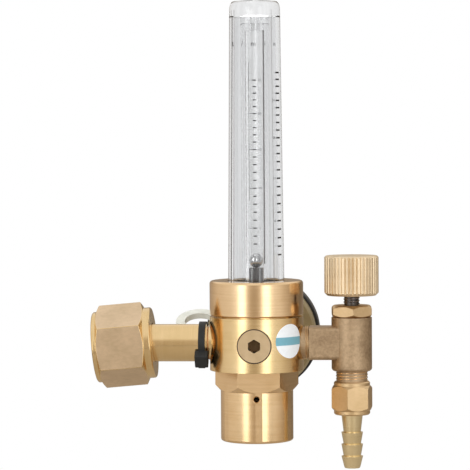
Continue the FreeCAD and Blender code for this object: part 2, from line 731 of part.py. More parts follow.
def bonnet():
    """Spring housing with wrench flats, a vent hole and a threaded floor."""
    hex_low = -size.body_drop - size.bonnet_hex_height
    cone_low = hex_low - size.bonnet_cone_height
    corner = bonnet_flats * HEX_CORNER
    bottom = -size.bonnet_bottom
    body = turned([
        (ring_low, bonnet_cavity),
        (ring_low, bonnet_thread_radius),
        (-size.body_drop, bonnet_thread_radius),
        (-size.body_drop, corner),
        (hex_low, corner),
        (cone_low, bonnet_radius),
        (bottom, bonnet_radius),
        (bottom, size.screw_radius + size.thread_play),
        (bottom + size.bonnet_floor, size.screw_radius + size.thread_play),
        (bottom + size.bonnet_floor, bonnet_cavity),
    ])
    rounded(body, size.bonnet_round, lambda edge: is_circle(edge, bonnet_radius, bottom))
    place(body, axis)
    prism = hexagon(bonnet_flats, size.bonnet_bottom, about_z(size.bonnet_turn.value), axis, z=bottom)
    turn = math.radians(size.vent_turn.value)
    outward = (math.sin(turn), -math.cos(turn), 0)
    vent = rod(size.vent_radius, bonnet_radius + 1, axis, z=-size.vent_drop, direction=outward)
    sink = doc.addObject("Part::Cone", "Sink")
    depth = 3 * size.vent_sink
    bind(sink, Radius1=size.vent_radius, Radius2=size.vent_radius + depth, Height=depth)
    reach = bonnet_radius - size.vent_sink
    place(sink, axis + reach * outward[0], reach * outward[1], -size.vent_drop,
          FreeCAD.Rotation(Vector(0, 0, 1), Vector(*outward)))
    node(cut(common(body, prism), [vent, sink]), "bonnet")


def diaphragm_stack():
    """Rubber diaphragm, its slip ring, and the plate and rivet at its centre."""
    hole = size.rivet_radius + size.running_play
    rubber = ring(diaphragm_low, ledge, hole, bonnet_thread_radius)
    node(place(rubber, axis), "diaphragm")
    slip = ring(ring_low, diaphragm_low, chamber_radius, bonnet_thread_radius)
    node(place(slip, axis), "slip_ring")
    plate = turned([
        (plate_low - size.spring_guide, hole),
        (diaphragm_low, hole),
        (diaphragm_low, plate_radius),
        (plate_low, plate_radius),
        (plate_low, spring_guide_radius),
        (plate_low - size.spring_guide, spring_guide_radius),
    ])
    node(place(plate, axis), "diaphragm_plate")
    rivet = turned([
        (plate_low - size.spring_guide, 0),
        (rivet_top, 0),
        (rivet_top, size.rivet_head_radius),
        (ledge, size.rivet_head_radius),
        (ledge, size.rivet_radius),
        (plate_low - size.spring_guide, size.rivet_radius),
    ])
    node(place(rivet, axis), "diaphragm_rivet")


def coil(radius, wire, low, high, turns, label):
    """A round-wire spring between two levels on the body's axis."""
    rise = high - low - 2 * wire
    helix = doc.addObject("Part::Helix", "Helix")
    bind(helix, Radius=radius, Pitch=rise / turns, Height=rise)
    section = doc.addObject("Part::Circle", "Section")
    bind(section, Radius=wire)
    place(section, radius, rotation=FORWARD)
    sweep = doc.addObject("Part::Sweep", "Sweep")
    sweep.Sections = [section]
    sweep.Spine = (helix, ["Edge1"])
    sweep.Solid = True
    sweep.Frenet = True
    node(place(sweep, axis, z=low + wire), label)


def spring_button():
    """Cup that carries the spring on the adjusting screw."""
    button = turned([
        (button_low, 0),
        (button_low, plate_radius),
        (spring_low, plate_radius),
        (spring_low, spring_guide_radius),
        (spring_low + size.spring_guide, spring_guide_radius),
        (spring_low + size.spring_guide, 0),
    ])
    node(place(button, axis), "spring_button")


def adjusting_screw():
    """Screw in the bonnet's floor that sets the spring."""
    bottom = size.screw_recess - size.bonnet_bottom
    screw = place(disc(bottom, button_low, size.screw_radius), axis)
    socket = hexagon(size.screw_hex, size.screw_hex_depth, about_z(0), axis, z=bottom)
    node(cut(screw, [socket]), "adjusting_screw")


def reducing_valve():
    """Nozzle, poppet and the light spring that closes the poppet."""
    nozzle = ring(chamber_roof, nozzle_top, size.nozzle_orifice, size.nozzle_radius)
    node(place(nozzle, axis), "nozzle")
    head_low = nozzle_top + size.poppet_lift
    head_top = head_low + size.poppet_head
    poppet = turned([
        (rivet_top, 0),
        (head_top, 0),
        (head_top, size.poppet_radius),
        (head_low, size.poppet_radius),
        (head_low, size.poppet_stem),
        (rivet_top, size.poppet_stem),
    ])
    node(place(poppet, axis), "poppet")
    coil(size.poppet_spring_radius, size.poppet_spring_wire, head_top, valve_bore_top,
         size.poppet_spring_turns, "poppet_spring")


# Inlet

def inlet_nipple():
    """Nose, shoulder and pipe in one turning, and the sintered filter in its nose."""
    shoulder_end = size.nose_length + size.shoulder_length
    step = axis - pipe_end
    nose_edge = (size.shoulder_radius - size.nose_radius) / 4
    filter_end = size.filter_recess + size.filter_length
    body = turned([
        (0, size.filter_radius + size.thread_play),
        (0, size.nose_radius),
        (nose_edge, size.nose_radius + nose_edge),
        (size.nose_length, size.nose_radius + nose_edge),
        (size.nose_length, size.shoulder_radius),
        (shoulder_end, size.shoulder_radius),
        (shoulder_end, size.pipe_radius),
        (step, size.pipe_radius),
        (step, thread_radius),
        (axis - thread_end, thread_radius),
        (axis - thread_end, size.nipple_bore),
        (filter_end, size.nipple_bore),
        (filter_end, size.filter_radius + size.thread_play),
    ], "X")
    node(body, "inlet_nipple")
    node(disc(size.filter_recess, filter_end, size.filter_radius, "X"), "inlet_filter")


def inlet_nut():
    """Union nut with a female thread, drooping on the pipe about the point where the axes cross."""
    right = size.nut_web / 2
    left = right - size.nut_length
    corner = size.nut_flats * HEX_CORNER
    rise = corner - size.nut_collar_radius
    mouth_collar = left + size.nut_collar_mouth
    front_collar = right - size.nut_collar_front
    hole = size.pipe_radius + size.nut_web_play
    thread_end_in_nut = left + size.nut_mouth_chamfer + size.nut_thread
    body = turned([
        (left, size.nut_bore + size.nut_mouth_chamfer),
        (left, size.nut_collar_radius - size.nut_edge),
        (left + size.nut_edge, size.nut_collar_radius),
        (mouth_collar, size.nut_collar_radius),
        (mouth_collar + rise, corner),
        (front_collar - rise, corner),
        (front_collar, size.nut_collar_radius),
        (right - size.nut_edge, size.nut_collar_radius),
        (right, size.nut_collar_radius - size.nut_edge),
        (right, hole),
        (-right, hole),
        (-right, size.nut_relief),
        (thread_end_in_nut, size.nut_relief),
        (thread_end_in_nut, size.nut_bore),
        (left + size.nut_mouth_chamfer, size.nut_bore),
    ], "X")
    prism = hexagon(size.nut_flats, size.nut_length, FreeCAD.Rotation(Vector(0, 1, 0), 90), left)
    nut = common(body, prism)
    droop = FreeCAD.Rotation(Vector(0, 1, 0), -size.nut_tilt.value)
    node(place(nut, axis - size.nut_pivot, rotation=droop), "inlet_nut")


def washer_axes():
    """The directions of the washer's axis and of its rearward radius, seen along the pipe."""
    slope = math.radians(size.washer_slope.value)
    upward = Vector(0, -math.sin(slope), math.cos(slope))
    rearward = Vector(0, math.cos(slope), math.sin(slope))
    return upward, rearward


def sealing_washer():
    """Spare washer that the loosely closed cable tie holds behind the pipe."""
    upward, _ = washer_axes()
    place_at = (axis - tie_place - size.washer_shift, size.washer_reach, size.washer_rise)
    outer = rod(size.washer_radius, size.washer_thickness, *place_at, tuple(-upward))
    inner = rod(size.washer_hole, size.washer_thickness, *place_at, tuple(-upward))
    node(cut(outer, [inner]), "sealing_washer")


def tie_band():
    """The band of the tie: round the pipe, over the front of the washer and down through its hole."""
    upward, rearward = washer_axes()
    half = size.tie_thickness.value / 2
    off = half + size.tie_play.value
    wrap = size.pipe_radius.value + off
    beside = size.washer_shift.value + size.tie_width.value / 2
    inside = off - math.sqrt(size.washer_hole.value ** 2 - beside ** 2)
    middle = Vector(0, size.washer_reach.value, size.washer_rise.value)
    over = middle + rearward * inside + upward * off
    under = middle + rearward * inside - upward * (size.washer_thickness.value + off)

    def on_pipe(angle):
        return Vector(0, wrap * math.cos(angle), wrap * math.sin(angle))

    leave = math.atan2(over.z, over.y) + math.acos(wrap / over.Length)
    land = math.atan2(under.z, under.y) - math.acos(wrap / under.Length)
    halfway = (leave + land) / 2 + math.pi
    edges = [
        Part.LineSegment(on_pipe(leave), over),
        Part.LineSegment(over, under),
        Part.LineSegment(under, on_pipe(land)),
        Part.Arc(on_pipe(land), on_pipe(halfway), on_pipe(leave)),
    ]
    route = Part.Wire([edge.toShape() for edge in edges])
    outer = Part.Face(route.makeOffset2D(half))
    inner = Part.Face(route.makeOffset2D(-half))
    band = outer.cut(inner)
    width = size.tie_width.value
    return band.extrude(Vector(width, 0, 0)).translated(Vector(-width / 2, 0, 0))


def cable_tie():
    """Cable tie with its locking head at the front and a short cut tail."""
    inner = size.pipe_radius.value + size.tie_play.value
    head = Part.makeBox(size.tie_head_width.value, size.tie_head_height.value, size.tie_head_length.value)
    head = head.makeFillet(size.tie_thickness.value / 2, head.Edges)
    head.translate(Vector(-size.tie_head_width.value / 2, -inner - size.tie_head_height.value,
                          -size.tie_head_length.value / 2))
    tail = Part.makeBox(size.tie_width.value, size.tie_thickness.value, size.tie_tail.value * 2)
    tail.translate(Vector(-size.tie_width.value / 2, -inner - size.tie_head_height.value * 0.75,
                          -size.tie_head_length.value / 2 - size.tie_tail.value))
    head = head.fuse(tail)
    head.rotate(Vector(), Vector(1, 0, 0), size.tie_head_turn.value)
    feature = doc.addObject("Part::Feature", "Tie")
    feature.Shape = tie_band().fuse(head).removeSplitter()
    node(place(feature, axis - tie_place), "cable_tie")


# Outlet needle valve

def stem_space():
    """What the stem, its nut and the gas need inside the valve housing."""
    return place(turned([
        (-size.outlet_thread_end, 0),
        (-size.outlet_thread_end, size.outlet_bore),
        (-size.orifice_top - size.orifice_length, size.outlet_bore),
        (-size.orifice_top - size.orifice_length, size.orifice_radius),
        (-size.orifice_top, size.orifice_radius),
        (-size.orifice_top, size.stem_bore),
        (size.gland_floor, size.stem_bore),
        (size.gland_floor, size.gland_radius + size.thread_play),
        (size.valve_rise, size.gland_radius + size.thread_play),
        (size.valve_rise, 0),
    ]), valve_axis)


def valve_body():
    """Cast housing: a square arm with a threaded end, an upright cylinder and the hose thread."""
    body = doc.addObject("PartDesign::Body", "Casting")
    upright = new_sketch(body, "XY_Plane", -size.valve_drop)
    circle = upright.addGeometry(Part.Circle(Vector(), Vector(0, 0, 1), size.valve_radius.value), False)
    upright.addConstraint(Sketcher.Constraint("Coincident", circle, 3, -1, 1))
    radius = upright.addConstraint(Sketcher.Constraint("Radius", circle, size.valve_radius.value))
    upright.setExpression(f"Constraints[{radius}]", size.valve_radius.text)
    cylinder = body.newObject("PartDesign::Pad", "Cylinder")
    cylinder.Profile = upright
    bind(cylinder, Length=size.valve_rise + size.valve_drop)
    half_depth = size.arm_depth / 2
    half_height = size.arm_height / 2
    end = new_sketch(body, "YZ_Plane", arm_start - size.valve_reach)
    draw_outline(end, [(-half_depth, -half_height), (half_depth, -half_height),
                       (half_depth, half_height), (-half_depth, half_height)])
    arm = body.newObject("PartDesign::Pad", "Arm")
    arm.Profile = end
    bind(arm, Length=size.valve_reach - arm_start)
    body.Tip = arm
    rounded(body, size.arm_round, is_arm_edge)
    bottom = -size.valve_drop
    rounded(body, size.valve_round, lambda edge: is_circle(edge, size.valve_radius, bottom))
    place(body, valve_axis)
    spigot = rod(thread_radius, arm_start - thread_end, axis + thread_end, direction=(1, 0, 0))
    hose_thread = rod(size.outlet_thread_radius, size.outlet_thread_end - size.valve_drop, valve_axis,
                      z=-size.outlet_thread_end)
    passage = rod(size.gas_bore_radius, size.valve_reach - thread_end, axis + thread_end, direction=(1, 0, 0))
    node(cut(fused([body, spigot, hose_thread]), [stem_space(), passage]), "valve_body")


def is_arm_edge(edge):
    """Whether an edge runs along the square arm."""
    if not isinstance(edge.Curve, Part.Line):
        return False
    return abs(edge.tangentAt(edge.FirstParameter).x) > 0.999


def packing_nut():
    """Hexagon nut that guides the stem's thread."""
    top = size.valve_rise + size.gland_height
    corner = size.gland_flats * HEX_CORNER
    rise = size.gland_chamfer * 0.8
    bore = size.stem_radius + size.running_play
    body = turned([
        (size.gland_floor, bore),
        (size.gland_floor, size.gland_radius),
        (size.valve_rise, size.gland_radius),
        (size.valve_rise, corner - size.gland_chamfer),
        (size.valve_rise + rise, corner),
        (top - rise, corner),
        (top, corner - size.gland_chamfer),
        (top, bore),
    ])
    place(body, valve_axis)
    prism = hexagon(size.gland_flats, top, about_z(size.gland_turn.value - 90), valve_axis)
    node(common(body, prism), "packing_nut")


def valve_stem():
    """Needle, ring groove, thread and shank in one turning, with the sealing ring in its groove."""
    tip_low = -size.orifice_top - size.orifice_length * 0.7
    needle = size.orifice_radius - size.running_play
    groove_half = size.ring_wire + size.running_play
    groove = size.stem_bore - size.running_play - 2 * size.ring_wire - size.running_play
    guide = size.ring_wire + size.running_play
    shank_top = size.knob_bottom + size.knob_height - size.knob_floor - size.running_play
    body = turned([
        (tip_low, 0),
        (tip_low, size.stem_tip),
        (size.running_play - size.orifice_top, needle),
        (size.running_play - size.orifice_top + needle / 2, size.stem_neck),
        (size.ring_rise - groove_half - guide, size.stem_neck),
        (size.ring_rise - groove_half - guide, size.stem_guide),
        (size.ring_rise - groove_half, size.stem_guide),
        (size.ring_rise - groove_half, groove),
        (size.ring_rise + groove_half, groove),
        (size.ring_rise + groove_half, size.stem_guide),
        (size.ring_rise + groove_half + guide, size.stem_radius),
        (size.knob_bottom, size.stem_radius),
        (size.knob_bottom, size.stem_shank),
        (shank_top, size.stem_shank),
        (shank_top, 0),
    ])
    node(place(body, valve_axis), "valve_stem")
    seal = doc.addObject("Part::Torus", "Seal")
    bind(seal, Radius1=groove + size.running_play + size.ring_wire, Radius2=size.ring_wire)
    node(place(seal, valve_axis, z=size.ring_rise), "stem_o_ring")


def fluted(body, low, high):
    """Cut the knob's straight flutes, one by one round its axis."""
    sketch = new_sketch(body, "XY_Plane", low)
    half = size.flute_width / 2
    draw_outline(sketch, [
        (size.knob_radius - size.flute_depth, 0),
        (size.knob_radius + size.flute_depth, -half * 2),
        (size.knob_radius + size.flute_depth, half * 2),
    ])
    flute = body.newObject("PartDesign::Pocket", "Flute")
    flute.Profile = sketch
    flute.Reversed = True
    bind(flute, Length=high - low)
    doc.recompute()
    pattern = body.newObject("PartDesign::PolarPattern", "Flutes")
    pattern.Originals = [flute]
    pattern.Axis = (sketch, ["N_Axis"])
    pattern.Angle = 360
    pattern.Occurrences = FLUTES
    body.Tip = pattern
    return body


def valve_knob():
    """Fluted knob on the stem, with its set screw at the back."""
    low = size.knob_bottom
    high = low + size.knob_height
    bore = size.stem_shank + size.running_play
    body = turned([
        (low, bore),
        (low, size.knob_radius - size.knob_chamfer),
        (low + size.knob_chamfer, size.knob_radius),
        (high - size.knob_top_chamfer, size.knob_radius),
        (high, size.knob_radius - size.knob_top_chamfer),
        (high, 0),
        (high - size.knob_floor, 0),
        (high - size.knob_floor, bore),
    ])
    fluted(body, low, high)
    place(body, valve_axis)
    level = low + size.set_screw_rise
    hole = rod(size.set_screw_radius, size.knob_radius + 1, valve_axis, z=level, direction=(0, 1, 0))
    node(cut(body, [hole]), "valve_knob")
    screw = rod(size.set_screw_radius - size.thread_play, size.set_screw_length, valve_axis,
                size.stem_shank + size.running_play, level, direction=(0, 1, 0))
    node(screw, "knob_set_screw")


def hose_nut():
    """Nut that clamps the barb on the hose thread: round collars above and below its flats."""
    top = -size.hose_nut_top
    low = -size.hose_nut_end
    web_top = low + size.hose_nut_web
    thread = size.outlet_thread_radius + size.thread_play
    collar = size.hose_nut_collar
    corner = size.hose_nut_flats * HEX_CORNER
    upper = top - size.hose_nut_collar_height
    lower = low + size.hose_nut_collar_height
    body = turned([
        (top, thread),
        (top, collar - size.hose_nut_chamfer),
        (top - size.hose_nut_chamfer, collar),
        (upper, collar),
        (upper - corner + collar, corner),
        (lower + corner - collar, corner),
        (lower, collar),
        (low + size.hose_nut_chamfer, collar),
        (low, collar - size.hose_nut_chamfer),
        (low, size.barb_neck + size.thread_play),
        (web_top, size.barb_neck + size.thread_play),
        (web_top, thread),
    ])
    place(body, valve_axis)
    prism = hexagon(size.hose_nut_flats, top - low, about_z(size.hose_nut_turn.value - 90),
                    valve_axis, z=low)
    node(common(body, prism), "hose_nut")


def hose_barb():
    """Barb with three rings, a flange inside the nut and a nose in the valve's bore."""
    web_top = size.hose_nut_web - size.hose_nut_end
    nose_radius = size.outlet_bore - size.thread_play
    nose_top = size.outlet_bore - size.outlet_thread_end
    end = -size.barb_end
    edge = size.barb_root / 8
    profile = [
        (end, size.barb_bore),
        (nose_top, size.barb_bore),
        (nose_top, nose_radius),
        (-size.outlet_thread_end, nose_radius),
        (-size.outlet_thread_end, size.barb_flange),
        (web_top, size.barb_flange),
        (web_top, size.barb_neck),
        (-size.hose_nut_end, size.barb_neck),
    ]
    for index in range(BARB_RINGS):
        level = -size.barb_first - size.barb_pitch * index
        profile += [(level, size.barb_root), (level, size.barb_crest)]
    profile += [(end + edge, size.barb_root - edge / 2), (end, size.barb_root - edge)]
    node(place(turned(profile), valve_axis), "hose_barb")


# Pressure gauge

def gauge_case():
    """Deep-drawn case with a hole at its back and a step that the dial sits on."""
    step = dial_radius - size.loose_play
    body = turned([
        (gauge_back, size.socket_neck + size.running_play),
        (gauge_back, size.gauge_case_radius - size.bezel_round),
        (gauge_back + size.bezel_round, size.gauge_case_radius),
        (gauge_front, size.gauge_case_radius),
        (gauge_front, dial_radius + size.running_play),
        (dial_place, dial_radius + size.running_play),
        (dial_place, step),
        (gauge_back + size.gauge_wall, step),
        (gauge_back + size.gauge_wall, size.socket_neck + size.running_play),
    ], "Y")
    node(place(body, axis), "gauge_case")


def gauge_front_parts():
    """Bezel, lens and dial."""
    lens_top = gauge_front + size.lens_thickness
    bezel_front = lens_top + size.bezel_lip
    inner = size.gauge_case_radius + size.thread_play
    edge = size.bezel_round
    bezel = turned([
        (bezel_back, inner),
        (lens_top, inner),
        (lens_top, bezel_window),
        (bezel_front, bezel_window),
        (bezel_front, gauge_radius - edge),
        (bezel_front - edge, gauge_radius),
        (bezel_back + edge / 2, gauge_radius),
        (bezel_back, gauge_radius - edge / 2),
    ], "Y")
    node(place(bezel, axis), "gauge_bezel")
    lens = disc(gauge_front, lens_top, size.gauge_case_radius, "Y")
    node(place(lens, axis), "gauge_lens")
    dial = ring(dial_place, dial_place + size.dial_thickness, size.arbor_radius * 2,
                dial_radius, "Y")
    node(place(dial, axis), "gauge_dial")


def gauge_socket():
    """Threaded stem with a wrench square, which carries the pressure tube inside the case."""
    stem = turned([
        (thread_end, 0),
        (thread_end, thread_radius),
        (socket_square_start, thread_radius),
        (socket_square_start, size.socket_neck),
        (socket_end, size.socket_neck),
        (socket_end, 0),
    ], "Y")
    place(stem, axis)
    half = size.socket_square / 2
    square = block(size.socket_square, gauge_back - socket_square_start, size.socket_square,
                   axis - half, socket_square_start, -half)
    arm_reach = bourdon_radius + size.bourdon_tube_radius
    arm_half = size.socket_arm / 2
    arm = block(size.socket_arm, size.socket_arm, arm_reach, axis - arm_half,
                bourdon_place - arm_half, -arm_reach)
    bore = rod(size.gas_bore_radius / 2, bourdon_place - thread_end, axis, thread_end,
               direction=(0, 1, 0))
    feed = rod(size.gas_bore_radius / 2, bourdon_radius, axis, bourdon_place,
               -bourdon_radius)
    node(cut(fused([stem, square, arm]), [bore, feed]), "gauge_socket")


def bourdon_tube():
    """Bent tube that straightens under pressure, from the socket's arm round to its closed tip."""
    tube = doc.addObject("Part::Torus", "Tube")
    bind(tube, Radius1=bourdon_radius, Radius2=size.bourdon_tube_radius, Angle3=size.bourdon_sweep)
    face_angle = math.asin(size.socket_arm.value / 2 / (bourdon_radius - size.bourdon_tube_radius).value)
    start = FreeCAD.Rotation(Vector(0, 1, 0), 90 - math.degrees(face_angle))
    flat = FreeCAD.Rotation(Vector(1, 0, 0), 90)
    node(place(tube, axis, bourdon_place, rotation=start.multiply(flat)), "bourdon_tube")


def involute_half_angle(teeth, radius, backlash):
    """Half the angle that an involute tooth covers at a radius."""
    pitch = size.gear_module.value * teeth / 2
    base = pitch * math.cos(PRESSURE_ANGLE)
    flank = math.acos(min(1.0, base / radius))
    at_pitch = math.tan(PRESSURE_ANGLE) - PRESSURE_ANGLE
    at_radius = math.tan(flank) - flank
    return math.pi / (2 * teeth) - backlash / (2 * pitch) + at_pitch - at_radius


def tooth_outline(teeth, middle):
    """Outline points of one tooth, centred on an angle measured from +Z towards +X."""
    module = size.gear_module.value
    pitch = module * teeth / 2
    base = pitch * math.cos(PRESSURE_ANGLE)
    backlash = size.gear_backlash.value
    root = pitch - 1.15 * module
    tip = pitch + 0.85 * module
    low = max(base, root)
    radii = [low + (tip - low) * step / 3 for step in range(4)]
    if root < base:
        radii.insert(0, root)
    halves = [involute_half_angle(teeth, max(radius, base), backlash) for radius in radii]
    left = [(radius, middle - half) for radius, half in zip(radii, halves)]
    right = [(radius, middle + half) for radius, half in zip(radii, halves)]
    outline = left + right[::-1]
    return [Vector(radius * math.sin(angle), 0, radius * math.cos(angle)) for radius, angle in outline]


def plate_of(points, start, thickness):
    """A flat plate through the points, from one place on the gauge's axis towards its front."""
    outline = Part.makePolygon(points + points[:1])
    plate = Part.Face(outline).extrude(Vector(0, thickness, 0))
    return plate.translated(Vector(0, start, 0))


def gear_centre():
    """Distance between the pinion's and the sector's arbors."""
    return size.gear_module * (PINION_TEETH + SECTOR_TEETH) / 2


def movement_plate():
    """Plate on the socket's end that carries both arbors."""
    half = size.movement_width / 2
    length = gear_centre() + size.socket_neck + 3 * size.arbor_radius
    low = -gear_centre() - 3 * size.arbor_radius
    plate = block(size.movement_width, size.movement_plate, length, axis - half, socket_end, low)
    hole = rod(size.arbor_radius + size.running_play, size.movement_plate, axis, socket_end,
               direction=(0, 1, 0))
    pin_length = size.movement_plate + size.gear_standoff + 2 * size.gear_thickness
    pin = rod(size.arbor_radius, pin_length, axis, socket_end, -gear_centre(), (0, 1, 0))
    node(fused([cut(plate, [hole]), pin]), "movement_plate")


def pointer_pinion():
    """Pinion and arbor that carry the pointer."""
    start = (socket_end + size.movement_plate + size.gear_standoff).value - size.running_play.value
    thickness = size.gear_thickness.value + 2 * size.running_play.value
    points = []
    for index in range(PINION_TEETH):
        points += tooth_outline(PINION_TEETH, math.pi + 2 * math.pi * (index + 0.5) / PINION_TEETH)
    teeth = plate_of(points, start, thickness)
    arbor_start = (socket_end + size.running_play).value
    arbor_end = (dial_place + size.dial_thickness + 5 * size.pointer_thickness).value
    arbor = Part.makeCylinder(size.arbor_radius.value, arbor_end - arbor_start, Vector(0, arbor_start, 0),
                              Vector(0, 1, 0))
    feature = doc.addObject("Part::Feature", "Pinion")
    feature.Shape = teeth.fuse(arbor)
    node(place(feature, axis), "pointer_pinion")


def sector_gear():
    """Toothed sector that turns the pinion, with a short tail for the tube's link."""
    start = (socket_end + size.movement_plate + size.gear_standoff).value
    thickness = size.gear_thickness.value
    pitch_step = 2 * math.pi / SECTOR_TEETH
    swing = round(math.radians(SECTOR_SWING) / pitch_step)
    spare = 2
    points = []
    for index in range(-swing - spare, spare + 1):
        points += tooth_outline(SECTOR_TEETH, index * pitch_step)
    rim = size.gear_module.value * SECTOR_TEETH / 2 - 5 * size.gear_module.value
    hub = 3 * size.arbor_radius.value
    last = (spare + 0.5) * pitch_step
    first = -(swing + spare + 0.5) * pitch_step
    points += [
        Vector(rim * math.sin(last), 0, rim * math.cos(last)),
        Vector(hub, 0, 0),
        Vector(-hub, 0, 0),
        Vector(rim * math.sin(first), 0, rim * math.cos(first)),
    ]
    blade = plate_of(points, start, thickness)
    boss = Part.makeCylinder(hub, thickness, Vector(0, start, 0), Vector(0, 1, 0))
    bore = Part.makeCylinder((size.arbor_radius + size.running_play).value, 2 * thickness,
                             Vector(0, start - thickness / 2, 0), Vector(0, 1, 0))
    feature = doc.addObject("Part::Feature", "Sector")
    feature.Shape = blade.fuse(boss).cut(bore)
    node(place(feature, axis, z=-gear_centre()), "sector_gear")


def gauge_pointer():
    """Pointer at the zero of the dial, pressed on the arbor."""
    start = (dial_place + size.dial_thickness + 2 * size.pointer_thickness).value
    thickness = size.pointer_thickness.value
    half = size.pointer_width.value / 2
    zero = math.radians(135)
    along = Vector(math.sin(zero), 0, math.cos(zero))
    beside = Vector(math.cos(zero), 0, -math.sin(zero))
    points = [
        beside * half - along * size.pointer_tail.value,
        beside * half,
        beside * half / 4 + along * pointer_length.value,
        beside * -half / 4 + along * pointer_length.value,
        beside * -half,
        beside * -half - along * size.pointer_tail.value,
    ]
    needle = plate_of(points, start, thickness)
    hub = Part.makeCylinder(size.pointer_hub.value, 2 * thickness, Vector(0, start, 0), Vector(0, 1, 0))
    bore = Part.makeCylinder((size.arbor_radius + size.running_play).value, 4 * thickness,
                             Vector(0, start - thickness, 0), Vector(0, 1, 0))
    feature = doc.addObject("Part::Feature", "Pointer")
    feature.Shape = needle.fuse(hub).cut(bore)
    node(place(feature, axis), "gauge_pointer")


def build():
    """Make every sub-part, in the order of assembly."""
    regulator_body()
    front_plug()
    inspection_label()
    tube_retaining_cap()
    cover_tube()
    metering_tube()
    ball_stop()
    float_ball()
    tube_top_spacer()
    bonnet()
    diaphragm_stack()
    coil(spring_radius, size.spring_wire, spring_low, plate_low, size.spring_turns, "main_spring")
    spring_button()
    adjusting_screw()
    reducing_valve()
    inlet_nipple()
    inlet_nut()
    sealing_washer()
    cable_tie()
    valve_body()
    packing_nut()
    valve_stem()
    valve_knob()
    hose_nut()
    hose_barb()
    gauge_case()
    gauge_front_parts()
    gauge_socket()
    bourdon_tube()
    movement_plate()
    pointer_pinion()
    sector_gear()
    gauge_pointer()


def check_and_export():
    """Stop on any failed feature, then write each sub-part's shape."""
    doc.recompute()
    failed = [item.Label for item in doc.Objects if {"Invalid", "Error"} & set(item.State)]
    if failed:
        raise RuntimeError(f"failed features: {failed}")
    for part in nodes:
        shape = part.Shape
        if shape.isNull() or not shape.isValid() or not shape.Solids:
            raise RuntimeError(f"{part.Label} has no valid solid")
    for part in nodes:
        part.Shape.exportStep(f"parts/{part.Label}.step")
        print(part.Label, len(part.Shape.Solids), round(part.Shape.Volume, 2))


build()
check_and_export()
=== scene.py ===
# %% [markdown]
# # A carbon dioxide flowmeter regulator
# A brass pressure regulator carries an upright clear flow tube, a gauge at its back, a loose inlet nut
# on one side and a needle valve with a hose barb on the other. The exact solids come from the packed
# model, which is loaded as a fixed frame. This lesson dresses them: it replaces the turned pieces by
# smooth meshes with real edges and threads, and gives each piece a procedural finish.

# %% Load the frame
import math

import bmesh
import bpy
from mathutils import Matrix, Vector


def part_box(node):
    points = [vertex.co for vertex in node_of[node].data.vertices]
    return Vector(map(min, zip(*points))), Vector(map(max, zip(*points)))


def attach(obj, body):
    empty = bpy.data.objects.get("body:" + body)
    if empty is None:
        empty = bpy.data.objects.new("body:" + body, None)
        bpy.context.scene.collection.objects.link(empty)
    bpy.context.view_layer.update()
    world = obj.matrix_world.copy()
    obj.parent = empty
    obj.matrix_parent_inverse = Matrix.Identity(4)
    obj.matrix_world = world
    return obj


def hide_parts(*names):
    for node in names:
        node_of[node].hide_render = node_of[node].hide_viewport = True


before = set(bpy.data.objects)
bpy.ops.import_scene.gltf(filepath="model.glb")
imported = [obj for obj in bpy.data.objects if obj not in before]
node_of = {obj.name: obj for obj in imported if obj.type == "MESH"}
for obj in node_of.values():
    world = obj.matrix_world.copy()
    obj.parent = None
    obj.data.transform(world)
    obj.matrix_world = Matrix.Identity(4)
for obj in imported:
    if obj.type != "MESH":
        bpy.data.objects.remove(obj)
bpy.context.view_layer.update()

# %% [markdown]
# The camera stands about one metre away, a little to the right of the front plug and above the inlet,
# with a long lens, so the perspective is gentle. It is built from three directions: where it looks,
# its right and its up. A small roll puts the slight lean of the real picture in.

# %% Camera
MM = 0.001
BODY_X = 56 * MM
VALVE_X = 96 * MM
FRAME_PIXELS = 470
FOCAL_PIXELS = 2400


def make_camera(distance=1.008, azimuth=3.3, height=0.087, pitch=2.362, yaw=0.5013, roll=-0.39):
    """Place a long-lens camera round the body's axis; all angles are in degrees."""
    data = bpy.data.cameras.new("camera")
    data.sensor_width = 36
    data.lens = data.sensor_width * FOCAL_PIXELS / FRAME_PIXELS
    data.clip_start = 0.05
    data.clip_end = 50
    camera = bpy.data.objects.new("camera", data)
    bpy.context.scene.collection.objects.link(camera)
    around = math.radians(azimuth)
    heading = math.radians(azimuth + yaw)
    tilt = math.radians(pitch)
    ahead = Vector((-math.sin(heading) * math.cos(tilt), math.cos(heading) * math.cos(tilt), -math.sin(tilt)))
    right = ahead.cross(Vector((0, 0, 1))).normalized()
    up = right.cross(ahead)
    turn = Matrix.Rotation(math.radians(-roll), 3, ahead)
    right, up = turn @ right, turn @ up
    stand = Vector((BODY_X + distance * math.sin(around), -distance * math.cos(around), height))
    axes = Matrix((right, up, -ahead)).transposed().to_4x4()
    camera.matrix_world = Matrix.Translation(stand) @ axes
    bpy.context.scene.camera = camera
    return camera


camera = make_camera()
print("lens", round(camera.data.lens, 1), "mm at", [round(v, 3) for v in camera.location])

# %% [markdown]
# A product like this is photographed in a white tent with two tall strip lights in front of it. The
# strips are what make turned brass look like brass: two bright lines, a dark line between them and
# dark flanks. The world gives each kind of ray its share: camera and transmitted rays see plain white,
# glossy rays see the strips by their compass direction, and diffuse rays see an even soft light.

# %% Studio world
def node_tree_of(owner):
    """An empty node tree for a material or world, with a short way to add and join nodes."""
    owner.use_nodes = True
    tree = owner.node_tree
    tree.nodes.clear()

    def add(kind, **values):
        made = tree.nodes.new(kind)
        for key, value in values.items():
            if hasattr(made, key):
                setattr(made, key, value)
            else:
                made.inputs[key].default_value = value
        return made

    def join(start, end):
        tree.links.new(start, end)

    return add, join


